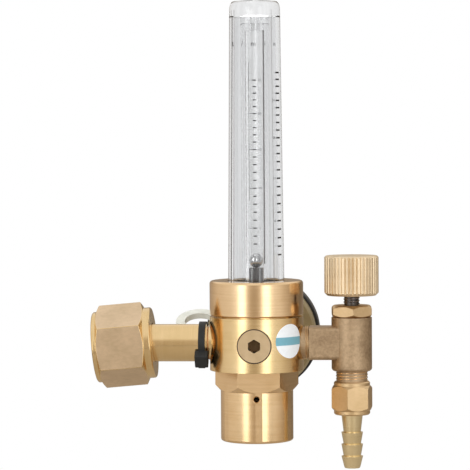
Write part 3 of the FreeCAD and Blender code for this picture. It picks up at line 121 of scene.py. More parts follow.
def ramp(add, stops):
    """A colour ramp from (place, value or colour) pairs."""
    made = add("ShaderNodeValToRGB")
    elements = made.color_ramp.elements
    elements[0].position, elements[-1].position = stops[0][0], stops[-1][0]
    for place, _ in stops[1:-1]:
        elements.new(place)
    for element, (_, value) in zip(elements, stops):
        colour = (value, value, value) if isinstance(value, (int, float)) else value
        element.color = (*colour, 1)
    return made


def math_node(add, join, operation, *values):
    """A Math node fed with numbers or sockets."""
    made = add("ShaderNodeMath", operation=operation)
    for socket, value in zip(made.inputs, values):
        if isinstance(value, (int, float)):
            socket.default_value = value
        else:
            join(value, socket)
    return made.outputs[0]


def blend(add, join, share, first, second):
    """Move from a first number or socket to a second as the share goes from 0 to 1."""
    made = add("ShaderNodeMix")
    join(share, made.inputs["Factor"])
    for socket, value in (("A", first), ("B", second)):
        if isinstance(value, (int, float)):
            made.inputs[socket].default_value = value
        else:
            join(value, made.inputs[socket])
    return made.outputs["Result"]


STRIPS = [(-180, 0.30), (-139, 0.50), (-121, 0.64), (-106, 0.74), (-80, 0.82), (-60, 0.92), (-45, 1.20),
          (-39, 2.60), (-27, 2.60), (-21, 1.00), (-13, 0.62), (-2, 0.50), (8, 0.62), (16, 1.10), (22, 2.60),
          (34, 2.60), (40, 1.30), (50, 1.00), (62, 0.90), (75, 0.70), (92, 0.52), (104, 0.36), (118, 0.28),
          (140, 0.20), (180, 0.30)]
STRIP_PEAK = 3.2
OVERHEAD_LEVEL = 0.95
GROUND_LEVEL = 0.44
EVEN_LEVEL = 0.72


def studio_world():
    """White for the camera and through glass, strips of light in reflections, even light elsewhere."""
    world = bpy.data.worlds.new("studio")
    bpy.context.scene.world = world
    add, join = node_tree_of(world)
    direction = add("ShaderNodeTexCoord").outputs["Generated"]
    parts = add("ShaderNodeSeparateXYZ")
    join(direction, parts.inputs[0])
    forward = math_node(add, join, "MULTIPLY", parts.outputs["Y"], -1.0)
    compass = math_node(add, join, "ARCTAN2", parts.outputs["X"], forward)
    turn = math_node(add, join, "MULTIPLY_ADD", compass, 1 / (2 * math.pi), 0.5)
    strips = ramp(add, [((angle + 180) / 360, level / STRIP_PEAK) for angle, level in STRIPS])
    join(turn, strips.inputs[0])
    around = math_node(add, join, "MULTIPLY", strips.outputs[0], STRIP_PEAK)
    lifted = math_node(add, join, "MULTIPLY_ADD", parts.outputs["Z"], 0.5, 0.5)
    above = ramp(add, [(0.62, 0.0), (0.74, 1.0)])
    below = ramp(add, [(0.10, 1.0), (0.32, 0.0)])
    join(lifted, above.inputs[0])
    join(lifted, below.inputs[0])
    level = blend(add, join, above.outputs[0], around, OVERHEAD_LEVEL)
    level = blend(add, join, below.outputs[0], level, GROUND_LEVEL)
    rays = add("ShaderNodeLightPath")
    warmth = ramp(add, [(0.15, (1.0, 0.86, 0.70)), (0.33, (1.0, 1.0, 1.0))])
    join(math_node(add, join, "DIVIDE", level, STRIP_PEAK), warmth.inputs[0])
    reflected = add("ShaderNodeBackground")
    join(warmth.outputs[0], reflected.inputs["Color"])
    join(level, reflected.inputs["Strength"])
    even = add("ShaderNodeBackground", Color=(1, 1, 1, 1), Strength=EVEN_LEVEL)
    white = add("ShaderNodeBackground", Color=(1, 1, 1, 1), Strength=1.0)
    soft = add("ShaderNodeMixShader")
    join(rays.outputs["Is Glossy Ray"], soft.inputs[0])
    join(even.outputs[0], soft.inputs[1])
    join(reflected.outputs[0], soft.inputs[2])
    seen = math_node(add, join, "MAXIMUM", rays.outputs["Is Camera Ray"], rays.outputs["Is Transmission Ray"])
    result = add("ShaderNodeMixShader")
    join(seen, result.inputs[0])
    join(soft.outputs[0], result.inputs[1])
    join(white.outputs[0], result.inputs[2])
    output = add("ShaderNodeOutputWorld")
    join(result.outputs[0], output.inputs[0])
    return world


studio_world()
bpy.context.scene.view_settings.view_transform = "Standard"
print("world strips:", len(STRIPS), "stops")

# %% [markdown]
# Three large soft lamps add direction to the even light, so that matt pieces such as the cable tie, the
# label and the cast housing have a lit side and a shaded side. They are big and near, so shadows are
# soft, and they are hidden from reflections, which the world's strips already light.

# %% Lamps
def soft_lamp(name, place, target, width, height, power):
    """An area lamp at a place, facing a target, all in metres."""
    data = bpy.data.lights.new(name, "AREA")
    data.shape = "RECTANGLE"
    data.size, data.size_y = width, height
    data.energy = power
    lamp = bpy.data.objects.new(name, data)
    lamp.visible_glossy = False
    bpy.context.scene.collection.objects.link(lamp)
    aim = Vector(target) - Vector(place)
    lamp.matrix_world = Matrix.Translation(place) @ aim.to_track_quat("-Z", "Y").to_matrix().to_4x4()
    return lamp


MIDDLE = (BODY_X, 0, 40 * MM)
soft_lamp("left strip lamp", (-0.55, -0.75, 0.35), MIDDLE, width=0.25, height=0.9, power=3.2)
soft_lamp("front strip lamp", (0.28, -1.1, 0.45), MIDDLE, width=0.25, height=0.9, power=2.6)
soft_lamp("overhead lamp", (BODY_X, 0.1, 0.9), MIDDLE, width=0.8, height=0.8, power=3.0)

# %% [markdown]
# The part is held by its inlet, so nothing of it touches the floor. The floor lies well below it and
# keeps a soft shadow near the part; further out it fades to plain white for the camera.

# %% Floor
def pale_floor(level=-0.30, reach=1.5, fade_from=0.5, fade_to=1.4):
    """A pale floor whose far part is plain white to the camera and through glass; in reflections it shows a
    darker, warm tone.
    """
    bm = bmesh.new()
    bmesh.ops.create_grid(bm, x_segments=1, y_segments=1, size=reach)
    bmesh.ops.translate(bm, verts=bm.verts, vec=(BODY_X, 0, level))
    mesh = bpy.data.meshes.new("floor")
    bm.to_mesh(mesh)
    bm.free()
    floor = bpy.data.objects.new("floor", mesh)
    bpy.context.scene.collection.objects.link(floor)
    material = bpy.data.materials.new("pale floor")
    add, join = node_tree_of(material)
    place = add("ShaderNodeTexCoord").outputs["Object"]
    length = add("ShaderNodeVectorMath", operation="LENGTH")
    join(place, length.inputs[0])
    far = add("ShaderNodeMapRange")
    far.inputs["From Min"].default_value = fade_from
    far.inputs["From Max"].default_value = fade_to
    join(length.outputs["Value"], far.inputs["Value"])
    rays = add("ShaderNodeLightPath")
    seen = math_node(add, join, "MAXIMUM", rays.outputs["Is Camera Ray"], rays.outputs["Is Transmission Ray"])
    share = math_node(add, join, "MULTIPLY", seen, far.outputs[0])
    tint = ramp(add, [(0.0, (0.86, 0.86, 0.86)), (1.0, (0.46, 0.41, 0.35))])
    join(rays.outputs["Is Glossy Ray"], tint.inputs[0])
    paint = add("ShaderNodeBsdfDiffuse")
    join(tint.outputs[0], paint.inputs["Color"])
    glow = add("ShaderNodeEmission", Strength=1.0)
    mix = add("ShaderNodeMixShader")
    join(share, mix.inputs[0])
    join(paint.outputs[0], mix.inputs[1])
    join(glow.outputs[0], mix.inputs[2])
    output = add("ShaderNodeOutputMaterial")
    join(mix.outputs[0], output.inputs["Surface"])
    mesh.materials.append(material)
    return floor


pale_floor()
print("floor laid")

# %% [markdown]
# Turned brass has fine rings left by the tool. On the real surface they run round the axis, so the
# pattern is a noise that changes quickly along the axis and hardly at all across it. It drives a little
# roughness and a very shallow bump. A slower noise warms and cools the colour, as handling does.

# %% Brass finishes
def stretched_noise(add, join, scale, detail=3.0, roughness=0.6):
    """A noise on Object coordinates, stretched by a different scale on each axis."""
    place = add("ShaderNodeTexCoord").outputs["Object"]
    mapping = add("ShaderNodeMapping")
    mapping.inputs["Scale"].default_value = scale
    join(place, mapping.inputs["Vector"])
    noise = add("ShaderNodeTexNoise", Scale=1.0, Detail=detail, Roughness=roughness)
    join(mapping.outputs[0], noise.inputs["Vector"])
    return noise.outputs["Fac"]


def two_tone(add, join, factor, first, second, low=0.35, high=0.65):
    """A colour that moves between two tones as the factor does."""
    tones = ramp(add, [(low, first), (high, second)])
    join(factor, tones.inputs[0])
    return tones.outputs[0]


def spread(add, join, factor, low, high):
    """A number from low to high as the factor goes from 0 to 1."""
    made = add("ShaderNodeMapRange")
    made.inputs["To Min"].default_value = low
    made.inputs["To Max"].default_value = high
    join(factor, made.inputs["Value"])
    return made.outputs[0]


BUMP_DEPTH = 0.00005
EASED_RADIUS = 0.00016


def metal_finish(name, tones, line_scale, roughness, bump, blotch=90.0, fleck=None):
    """A metal with two tones, fine lines or grain for roughness and bump, and slow blotches of colour."""
    material = bpy.data.materials.new(name)
    add, join = node_tree_of(material)
    shader = add("ShaderNodeBsdfPrincipled", Metallic=1.0)
    lines = stretched_noise(add, join, line_scale)
    blotches = stretched_noise(add, join, (blotch, blotch, blotch), detail=2.0)
    slow = math_node(add, join, "MULTIPLY", blotches, 0.55)
    mixed = math_node(add, join, "MULTIPLY_ADD", lines, 0.45, slow)
    join(two_tone(add, join, mixed, tones[0], tones[1]), shader.inputs["Base Color"])
    join(spread(add, join, lines, roughness[0], roughness[1]), shader.inputs["Roughness"])
    raised = add("ShaderNodeBump", Strength=bump, Distance=BUMP_DEPTH)
    eased = add("ShaderNodeBevel", samples=4, Radius=EASED_RADIUS)
    join(eased.outputs[0], raised.inputs["Normal"])
    if fleck is None:
        join(lines, raised.inputs["Height"])
    else:
        grain = stretched_noise(add, join, (fleck, fleck, fleck), detail=4.0, roughness=0.7)
        join(grain, raised.inputs["Height"])
    join(raised.outputs[0], shader.inputs["Normal"])
    output = add("ShaderNodeOutputMaterial")
    join(shader.outputs[0], output.inputs["Surface"])
    return material


before_metals = len(bpy.data.materials)
BRASS_TONES = ((0.76, 0.55, 0.27), (0.86, 0.64, 0.35))
ROSE_TONES = ((0.77, 0.54, 0.30), (0.88, 0.64, 0.39))
ALONG = {"X": (2600.0, 30.0, 30.0), "Y": (30.0, 2600.0, 30.0), "Z": (30.0, 30.0, 2600.0)}
turned_brass = {axis: metal_finish(f"brass turned along {axis}", BRASS_TONES, ALONG[axis], (0.14, 0.26), 0.20)
                for axis in "XYZ"}
cap_brass = metal_finish("brass turned and polished", ROSE_TONES, ALONG["Z"], (0.13, 0.22), 0.10)
bonnet_brass = metal_finish("brass turned warm", ((0.80, 0.55, 0.29), (0.91, 0.66, 0.39)), ALONG["Z"],
                            (0.15, 0.25), 0.10)
pale_brass = metal_finish("brass turned pale", ((0.84, 0.67, 0.38), (0.94, 0.78, 0.48)), ALONG["Z"],
                          (0.24, 0.34), 0.15)
plug_brass = metal_finish("brass faced plug", ((0.72, 0.55, 0.33), (0.84, 0.66, 0.43)), (300.0, 300.0, 300.0),
                          (0.32, 0.44), 0.2)
milled_brass = metal_finish("brass milled flats", ((0.66, 0.47, 0.25), (0.78, 0.57, 0.33)),
                            (400.0, 900.0, 900.0), (0.34, 0.48), 0.3)
forged_brass = metal_finish("brass forged and blasted", ((0.36, 0.25, 0.15), (0.64, 0.475, 0.305)),
                            (900.0, 900.0, 900.0), (0.42, 0.60), 1.0, fleck=1100.0)
knob_brass = metal_finish("brass satin knob", ((0.78, 0.62, 0.41), (0.89, 0.73, 0.51)), (60.0, 60.0, 900.0),
                          (0.36, 0.48), 0.25)
bright_steel = metal_finish("bright steel", ((0.55, 0.55, 0.55), (0.66, 0.66, 0.65)), (60.0, 60.0, 1400.0),
                            (0.16, 0.30), 0.2)
polished_steel = metal_finish("polished steel ball", ((0.50, 0.50, 0.50), (0.62, 0.62, 0.62)), (200.0,) * 3,
                              (0.05, 0.12), 0.02)
dark_steel = metal_finish("blackened steel", ((0.05, 0.045, 0.042), (0.11, 0.10, 0.095)),
                          (60.0, 60.0, 1400.0), (0.28, 0.42), 0.2)
worn_steel = metal_finish("worn dark steel", ((0.17, 0.15, 0.145), (0.30, 0.27, 0.26)), (300.0, 300.0, 900.0),
                          (0.24, 0.38), 0.2)
print("metal finishes:", len(bpy.data.materials) - before_metals)

# %% [markdown]
# The two tubes and the gauge's window are clear plastic: light passes, bends and loses a little. Soft
# pieces are plastic, rubber and paper with a fine grain.

# %% Plastics, rubber, paint and paper
def clear_finish(name, colour, roughness):
    """Clear plastic with a faint haze that varies over the surface."""
    material = bpy.data.materials.new(name)
    add, join = node_tree_of(material)
    shader = add("ShaderNodeBsdfPrincipled", IOR=1.46)
    shader.inputs["Transmission Weight"].default_value = 1.0
    haze = stretched_noise(add, join, (520.0, 520.0, 3.0), detail=4.0)
    lighter = tuple(min(1.0, part * 1.16) for part in colour)
    join(two_tone(add, join, haze, colour, lighter), shader.inputs["Base Color"])
    join(spread(add, join, haze, roughness * 0.5, roughness), shader.inputs["Roughness"])
    output = add("ShaderNodeOutputMaterial")
    join(shader.outputs[0], output.inputs["Surface"])
    return material


def plain_finish(name, dark, light, roughness, grain, bump):
    """A non-metal with two close tones and a fine grain."""
    material = bpy.data.materials.new(name)
    add, join = node_tree_of(material)
    shader = add("ShaderNodeBsdfPrincipled")
    noise = stretched_noise(add, join, (grain, grain, grain))
    join(two_tone(add, join, noise, dark, light), shader.inputs["Base Color"])
    join(spread(add, join, noise, roughness * 0.85, roughness), shader.inputs["Roughness"])
    raised = add("ShaderNodeBump", Strength=bump, Distance=BUMP_DEPTH)
    join(noise, raised.inputs["Height"])
    join(raised.outputs[0], shader.inputs["Normal"])
    output = add("ShaderNodeOutputMaterial")
    join(shader.outputs[0], output.inputs["Surface"])
    return material


before_others = len(bpy.data.materials)
cover_plastic = clear_finish("clear cover plastic", (0.75, 0.755, 0.76), 0.05)
clear_plastic = clear_finish("clear tube plastic", (0.94, 0.94, 0.94), 0.04)
window_plastic = clear_finish("clear window", (0.97, 0.97, 0.97), 0.02)
tie_nylon = plain_finish("black nylon", (0.005, 0.006, 0.006), (0.011, 0.012, 0.012), 0.62, 700.0, 0.2)
seal_rubber = plain_finish("black rubber", (0.014, 0.014, 0.014), (0.028, 0.028, 0.028), 0.75, 900.0, 0.3)
washer_plastic = plain_finish("pale washer plastic", (0.66, 0.67, 0.60), (0.74, 0.75, 0.68), 0.5, 300.0, 0.15)
white_plastic = plain_finish("white plastic", (0.74, 0.75, 0.74), (0.82, 0.83, 0.82), 0.45, 300.0, 0.1)
# partly painted reflection: a gold-toned case, darkened to olive for the darker surroundings it reflects
gold_case_with_painted_reflection = plain_finish("gold case with painted dark reflection", (0.29, 0.22, 0.105), (0.34, 0.26, 0.13), 0.42, 250.0, 0.2)
bezel_paint = plain_finish("black bezel paint", (0.012, 0.012, 0.013), (0.024, 0.024, 0.025),
                           0.35, 500.0, 0.15)
dial_paint = plain_finish("white dial paint", (0.80, 0.80, 0.78), (0.86, 0.86, 0.84), 0.5, 200.0, 0.05)
pointer_paint = plain_finish("black pointer paint", (0.012, 0.012, 0.012), (0.02, 0.02, 0.02),
                             0.5, 400.0, 0.05)
ink = plain_finish("black ink", (0.012, 0.012, 0.014), (0.030, 0.030, 0.032), 0.5, 2000.0, 0.0)
print("other finishes:", len(bpy.data.materials) - before_others)

# %% [markdown]
# The round label is white paper with one coloured band. The band is part of the material: a ramp over
# ten millimetres of height, with the inlet's axis in its middle, is coloured between two of its stops.

# %% Label paper
def label_finish():
    """White paper with one printed band across it, by height, and a trace of fibre."""
    material = bpy.data.materials.new("label paper")
    add, join = node_tree_of(material)
    shader = add("ShaderNodeBsdfPrincipled", Roughness=0.42)
    parts = add("ShaderNodeSeparateXYZ")
    join(add("ShaderNodeTexCoord").outputs["Object"], parts.inputs[0])
    height = math_node(add, join, "MULTIPLY_ADD", parts.outputs["Z"], 100.0, 0.5)
    white, band = (0.95, 0.97, 0.98), (0.20, 0.46, 0.55)
    stripe = ramp(add, [(0.0, white), (0.50, white), (0.51, band), (0.84, band), (0.85, white), (1.0, white)])
    join(height, stripe.inputs[0])
    fibre = stretched_noise(add, join, (900.0, 900.0, 900.0))
    shade = two_tone(add, join, fibre, (0.95, 0.95, 0.95), (1.0, 1.0, 1.0))
    print_on = add("ShaderNodeMix", data_type="RGBA", blend_type="MULTIPLY")
    print_on.inputs[0].default_value = 1.0
    join(stripe.outputs[0], print_on.inputs[6])
    join(shade, print_on.inputs[7])
    join(print_on.outputs[2], shader.inputs["Base Color"])
    output = add("ShaderNodeOutputMaterial")
    join(shader.outputs[0], output.inputs["Surface"])
    return material


label_paper = label_finish()
print("label finish:", label_paper.name)

# %% [markdown]
# Every node of the frame gets a finish by what it is made of and how it was made.

# %% Finishes for the frame's own nodes
def dress(finish, *names):
    """Give frame nodes a finish."""
    for name in names:
        slots = node_of[name].material_slots
        if not slots:
            node_of[name].data.materials.append(finish)
        for slot in slots:
            slot.material = finish


dress(cap_brass, "tube_retaining_cap")
dress(bonnet_brass, "bonnet")
dress(turned_brass["Z"], "regulator_body", "diaphragm_plate", "diaphragm_rivet",
      "spring_button", "nozzle", "poppet")
dress(pale_brass, "hose_barb")
dress(plug_brass, "front_plug")
dress(turned_brass["Y"], "gauge_socket", "movement_plate", "bourdon_tube")
dress(turned_brass["X"], "inlet_nipple", "inlet_filter")
dress(milled_brass, "inlet_nut", "packing_nut", "hose_nut")
dress(forged_brass, "valve_body")
dress(knob_brass, "valve_knob")
dress(cover_plastic, "cover_tube")
dress(clear_plastic, "metering_tube", "tube_top_spacer")
dress(window_plastic, "gauge_lens")
dress(white_plastic, "metering_tube_gasket")
dress(washer_plastic, "sealing_washer")
dress(seal_rubber, "cover_gasket", "plug_seal", "diaphragm", "stem_o_ring")
dress(tie_nylon, "cable_tie")
dress(dark_steel, "valve_stem", "ball_stop")
dress(bright_steel, "main_spring", "poppet_spring", "slip_ring", "adjusting_screw", "knob_set_screw",
      "pointer_pinion", "sector_gear")
dress(polished_steel, "float_ball")
dress(label_paper, "inspection_label")
dress(gold_case_with_painted_reflection, "gauge_case")
dress(bezel_paint, "gauge_bezel")
dress(dial_paint, "gauge_dial")
dress(pointer_paint, "gauge_pointer")
bare = [name for name, node in node_of.items()
        if not node.material_slots or node.material_slots[0].material is None]
print("nodes with no finish:", bare)

# %% [markdown]
# Turned pieces are modelled the way a lathe makes them: half of the section is drawn as a chain of
# edges, and bmesh's spin sweeps it round the axis. A full turn needs use_merge, and the doubles on the
# axis are merged before the normals are turned outward. Real edges are never razor sharp, so the sharp
# ones get a narrow bevel, which is what catches the light.

# %% Lathe and edge helpers
def turned_mesh(profile, steps=144, closed=True):
    """Spin a chain of (height, radius) corners, in millimetres, once round the Z axis."""
    bm = bmesh.new()
    verts = [bm.verts.new((radius * MM, 0, height * MM)) for height, radius in profile]
    pairs = list(zip(verts, verts[1:]))
    if closed:
        pairs.append((verts[-1], verts[0]))
    edges = [bm.edges.new(pair) for pair in pairs]
    bmesh.ops.spin(bm, geom=verts + edges, axis=(0, 0, 1), cent=(0, 0, 0), angle=2 * math.pi, steps=steps,
                   use_merge=True)
    bmesh.ops.remove_doubles(bm, verts=bm.verts, dist=1e-7)
    bmesh.ops.recalc_face_normals(bm, faces=bm.faces)
    return bm


def ease_edges(bm, width, sharpest=25, segments=2, only=None):
    """Bevel the edges that are sharper than an angle, or only those that a test picks."""
    edges = [edge for edge in bm.edges
             if edge.is_manifold and edge.calc_face_angle() > math.radians(sharpest)
             and (only is None or only(edge))]
    bmesh.ops.bevel(bm, geom=edges, offset=width * MM, segments=segments, profile=0.5, affect="EDGES",
                    material=-1, clamp_overlap=True)


def on_ring(level, radius):
    """A test for the edges of the circle at a height and radius, in millimetres."""
    def test(edge):
        return all(abs(v.co.z - level * MM) < 1e-6 and abs(v.co.xy.length - radius * MM) < 1e-6
                   for v in edge.verts)
    return test


def cut_flats(bm, across, turn=0.0):
    """Cut six wrench flats with planes and close each cut with one face."""
    for index in range(6):
        angle = math.radians(turn + 60 * index)
        outward = Vector((math.cos(angle), math.sin(angle), 0))
        everything = list(bm.verts) + list(bm.edges) + list(bm.faces)
        result = bmesh.ops.bisect_plane(bm, geom=everything, dist=1e-8, plane_co=outward * across / 2 * MM,
                                        plane_no=outward, clear_outer=True)
        rim = [item for item in result["geom_cut"] if isinstance(item, bmesh.types.BMEdge)]
        bmesh.ops.contextual_create(bm, geom=rim)
    bmesh.ops.recalc_face_normals(bm, faces=bm.faces)


def make_piece(name, bm, body, finish, replaces=(), move=None):
    """Make a bmesh a piece: its place in its mesh, smooth shading, a finish, and a body to ride on."""
    if move is not None:
        bmesh.ops.transform(bm, matrix=move, verts=bm.verts)
    mesh = bpy.data.meshes.new(name)
    bm.to_mesh(mesh)
    bm.free()
    mesh.polygons.foreach_set("use_smooth", [True] * len(mesh.polygons))
    mesh.set_sharp_from_angle(angle=math.radians(38))
    mesh.materials.append(finish)
    piece = bpy.data.objects.new(name, mesh)
    bpy.context.scene.collection.objects.link(piece)
    weighted = piece.modifiers.new("weighted normals", "WEIGHTED_NORMAL")
    weighted.keep_sharp = True
    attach(piece, body)
    if replaces:
        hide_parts(*replaces)
    print(name, len(mesh.polygons), "faces")
    return piece


AT_BODY = Matrix.Translation((BODY_X, 0, 0))
AT_VALVE = Matrix.Translation((VALVE_X, 0, 0))
LIE_ALONG_X = Matrix.Rotation(math.radians(90), 4, "Y")

# Sizes of the two tubes that more than one piece uses, in millimetres.
FLANGE_TOP, COVER_TOP = 22.3, 140
COVER_FOOT_RADIUS, COVER_HEAD_RADIUS = 11.8, 10.65
METERING_RADIUS = 6.0
print("body axis at x", BODY_X, "valve axis at x", VALVE_X)

# %% [markdown]
# The cap is a plain ring screwed over the clear cover's flange. Its upper outer edge has a generous
# round, its lower edge a small chamfer, and the mouth round the cover a bright narrow edge.

# %% Tube cap
def tube_cap():
    """Ring with a rounded upper edge, an inner lip and a threaded skirt."""
    low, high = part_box("tube_retaining_cap")
    bottom, top = low[2] / MM, high[2] / MM
    outer, thread, mouth, chamfer = 19.7, 17.05, 12.15, 0.5
    bm = turned_mesh([(bottom, thread), (FLANGE_TOP, thread), (FLANGE_TOP, mouth), (top, mouth),
                      (top, outer), (bottom + chamfer, outer), (bottom, outer - chamfer)], steps=192)
    ease_edges(bm, 1.3, segments=6, only=on_ring(top, outer))
    ease_edges(bm, 0.22, segments=3, only=on_ring(top, mouth))
    ease_edges(bm, 0.12, sharpest=40)
    return make_piece("tube_cap", bm, "regulator", cap_brass, ("tube_retaining_cap",), AT_BODY)


tube_cap()

# %% [markdown]
# The plug is screwed in flush. What shows is a thin dark line round it, the shadow in the narrow gap at its
# edge, and a hexagon socket that looks nearly black, because light can't find its way out. Both are painted
# shade: a thin dark ring fills the gap, and a lathe that turns in six steps makes a hexagonal cup, which
# lines the socket with dark brass.

# %% Painted shade in the plug's gap and socket
# painted shade: a dark ring stands for the shadow in the narrow gap round the plug
plug_gap_painted_shade = plain_finish("painted gap shade", (0.035, 0.020, 0.010), (0.075, 0.045, 0.022), 0.6, 900.0, 0.2)
# painted shade: a dark lining stands for the socket's shade, where light can't find its way out
socket_painted_shade = metal_finish("painted socket shade", ((0.10, 0.065, 0.03), (0.19, 0.125, 0.07)), (500.0,) * 3,
                            (0.45, 0.60), 0.3)


def plug_details():
    """Painted shade: a dark ring in the gap at the plug's edge and a dark lining in its hexagon socket, both
    facing -Y.
    """
    back, under, face = 17.2, 19.18, 19.34
    outer, inner, over = 7.16, 7.02, 6.78
    edge = turned_mesh([(back, outer), (face, outer), (face, over), (under, over), (under, inner),
                        (back, inner)])
    toward_front = AT_BODY @ Matrix.Rotation(math.radians(90), 4, "X")
    make_piece("plug_gap_shade", edge, "regulator", plug_gap_painted_shade, (), toward_front)
    rim, floor, wall, thickness = 19.25, 15.36, 2.84, 0.03
    cup = turned_mesh([(rim, wall), (floor, wall), (floor, 0.0), (floor - thickness, 0.0),
                       (floor - thickness, wall + thickness), (rim, wall + thickness)],
                      steps=6, closed=False)
    make_piece("plug_socket_shade", cup, "regulator", socket_painted_shade, (), toward_front)


plug_details()

# %% [markdown]
# A thread is a ridge with a narrow flat crest that climbs as it turns. Spin does this too: with a small
# step along the axis (dvec) at each of its steps, the section rises and becomes a helix. The two open
# ends are then filled. The threads that show beside the body, under the valve and on the stem are made
# so. The stem's starts above the packing nut, so it stays clear of the nut's bore as the stem rises.

# %% Threads
def thread_ridge(root, crest, pitch, turns, start, steps_a_turn=48):
    """A helical ridge on a core, wide at its root and narrow at its crest, in millimetres."""
    bm = bmesh.new()
    wide, narrow = 0.46 * pitch, 0.08 * pitch
    corners = [(root, -wide), (crest, -narrow), (crest, narrow), (root, wide)]
    verts = [bm.verts.new((radius * MM, 0, (start + pitch / 2 + rise) * MM)) for radius, rise in corners]
    edges = [bm.edges.new(pair) for pair in zip(verts, verts[1:] + verts[:1])]
    steps = int(turns * steps_a_turn)
    bmesh.ops.spin(bm, geom=verts + edges, axis=(0, 0, 1), cent=(0, 0, 0), angle=2 * math.pi * turns,
                   dvec=(0, 0, pitch * turns * MM / steps), steps=steps)
    rim = [edge for edge in bm.edges if edge.is_boundary]
    bmesh.ops.holes_fill(bm, edges=rim, sides=4)
    bmesh.ops.recalc_face_normals(bm, faces=bm.faces)
    return bm


thread_brass = metal_finish("brass thread with copper tint", ((0.60, 0.36, 0.20), (0.74, 0.48, 0.28)),
                            (900.0, 900.0, 900.0), (0.22, 0.34), 0.3)


def exposed_threads():
    """The threads that show between screwed pieces."""
    inlet = thread_ridge(root=6.55, crest=7.15, pitch=0.9, turns=1.2, start=-21.35)
    make_piece("inlet_port_thread", inlet, "regulator", thread_brass, (), AT_BODY @ LIE_ALONG_X)
    outlet = thread_ridge(root=6.55, crest=7.15, pitch=0.9, turns=2.2, start=19.85)
    make_piece("valve_port_thread", outlet, "regulator", plug_brass, (), AT_BODY @ LIE_ALONG_X)
    hose = thread_ridge(root=6.0, crest=6.72, pitch=1.22, turns=3.2, start=-16.4)
    make_piece("hose_thread", hose, "regulator", bonnet_brass, (), AT_VALVE)
    stem = thread_ridge(root=2.9, crest=3.42, pitch=1.25, turns=2.6, start=15.8, steps_a_turn=32)
    make_piece("stem_thread", stem, "stem", worn_steel, (), AT_VALVE)


exposed_threads()

# %% [markdown]
# The inlet nut is turned first, with a collar at each end and chamfers that rise to the hexagon's
# corners, and then its six flats are milled. Planes that cut the turned blank leave the curved chamfer
# lines that every real nut has. Its bore is left smooth, with a relief behind the place of the thread.
# The six flats are far larger than any other face, so their area picks them out for the milled finish.

# %% Inlet nut
nut_brass = metal_finish("brass nut flats", ((0.66, 0.50, 0.32), (0.80, 0.61, 0.41)), (500.0, 900.0, 900.0),
                         (0.28, 0.42), 0.35)


def inlet_union_nut():
    """Union nut with collars, six flats and a smooth bore, drooping as it hangs on the pipe."""
    across, pivot, droop = 30.4, 45.65, 5
    left, right, collar, corner, edge = -22.65, 2.25, 14.9, across / math.sqrt(3), 0.5
    mouth, thread, relief, bore = 10.75, 9.75, 10.2, 8.25
    left_collar, right_collar, thread_end = left + 1.8, right - 3.0, left + 11.0
    rise = 0.5 * (corner - collar)
    bm = turned_mesh([(left, mouth), (left, collar - edge), (left + edge, collar), (left_collar, collar),
                      (left_collar + rise, corner), (right_collar - rise, corner), (right_collar, collar),
                      (right - edge, collar), (right, collar - edge), (right, bore), (-right, bore),
                      (-right, relief), (thread_end, relief), (thread_end, thread), (left + 1.0, thread)],
                     steps=180)
    cut_flats(bm, across, turn=30)
    ease_edges(bm, 0.16, sharpest=20)
    hang = (Matrix.Translation((BODY_X - pivot * MM, 0, 0))
            @ Matrix.Rotation(math.radians(-droop), 4, "Y"))
    nut = make_piece("inlet_nut_body", bm, "inlet_nut", nut_brass, ("inlet_nut",),
                     hang @ LIE_ALONG_X)
    nut.data.materials.append(turned_brass["X"])
    smallest_flat = 100 * MM * MM
    for polygon in nut.data.polygons:
        polygon.material_index = 0 if polygon.area > smallest_flat else 1
    return nut


inlet_union_nut()

# %% [markdown]
# The clear cover is moulded with a slight taper and a rounded shoulder under its flat top. It is one
# closed lathe section, because light only bends rightly when it enters and leaves through real walls.

# %% Clear cover
def clear_cover():
    """Tapered clear cover with a flange, a closed top and a rounded shoulder."""
    low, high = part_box("cover_tube")
    seat, top = low[2] / MM, high[2] / MM
    shoulder, flat, flange = 3.4, 8.75, 14.5
    over_flange, ceiling = seat + 2.5, 137.1
    rounding = [(top - shoulder * (1 - math.sin(math.radians(15 * step))),
                 flat + (COVER_HEAD_RADIUS - flat) * math.cos(math.radians(15 * step))) for step in range(7)]
    bm = turned_mesh([(seat, 9.95), (seat, flange), (over_flange, flange), (over_flange, COVER_FOOT_RADIUS),
                      *rounding, (top, 0), (ceiling, 0), (ceiling, 8.2), (ceiling - 0.6, 8.8)], steps=160)
    return make_piece("clear_cover", bm, "regulator", cover_plastic, ("cover_tube",),
                      AT_BODY)


clear_cover()

# %% [markdown]
# Print lies on round tubes. A stroke is a tiny curved slab: a rectangle swept by a small angle round
# the tube's own axis. A long line follows the wall of a tube that may taper, and figures are flat
# letters set against it.

# %% Helpers for print
def stroke(bm, radius, compass, level, width, height, lift=0.03):
    """Add one curved stroke to a bmesh; width runs round the tube, height along it."""
    half = width / radius / 2
    first = Matrix.Rotation(math.radians(compass) - half, 4, "Z")
    corners = [(radius - lift, -height / 2), (radius + lift, -height / 2), (radius + lift, height / 2),
               (radius - lift, height / 2)]
    verts = [bm.verts.new(first @ Vector((0, -reach * MM, (level + rise) * MM))) for reach, rise in corners]
    edges = [bm.edges.new(pair) for pair in zip(verts, verts[1:] + verts[:1])]
    made = bmesh.ops.spin(bm, geom=verts + edges, axis=(0, 0, 1), cent=(0, 0, 0), angle=2 * half, steps=2)
    last = [item for item in made["geom_last"] if isinstance(item, bmesh.types.BMEdge)]
    bmesh.ops.contextual_create(bm, geom=edges)
    bmesh.ops.contextual_create(bm, geom=last)


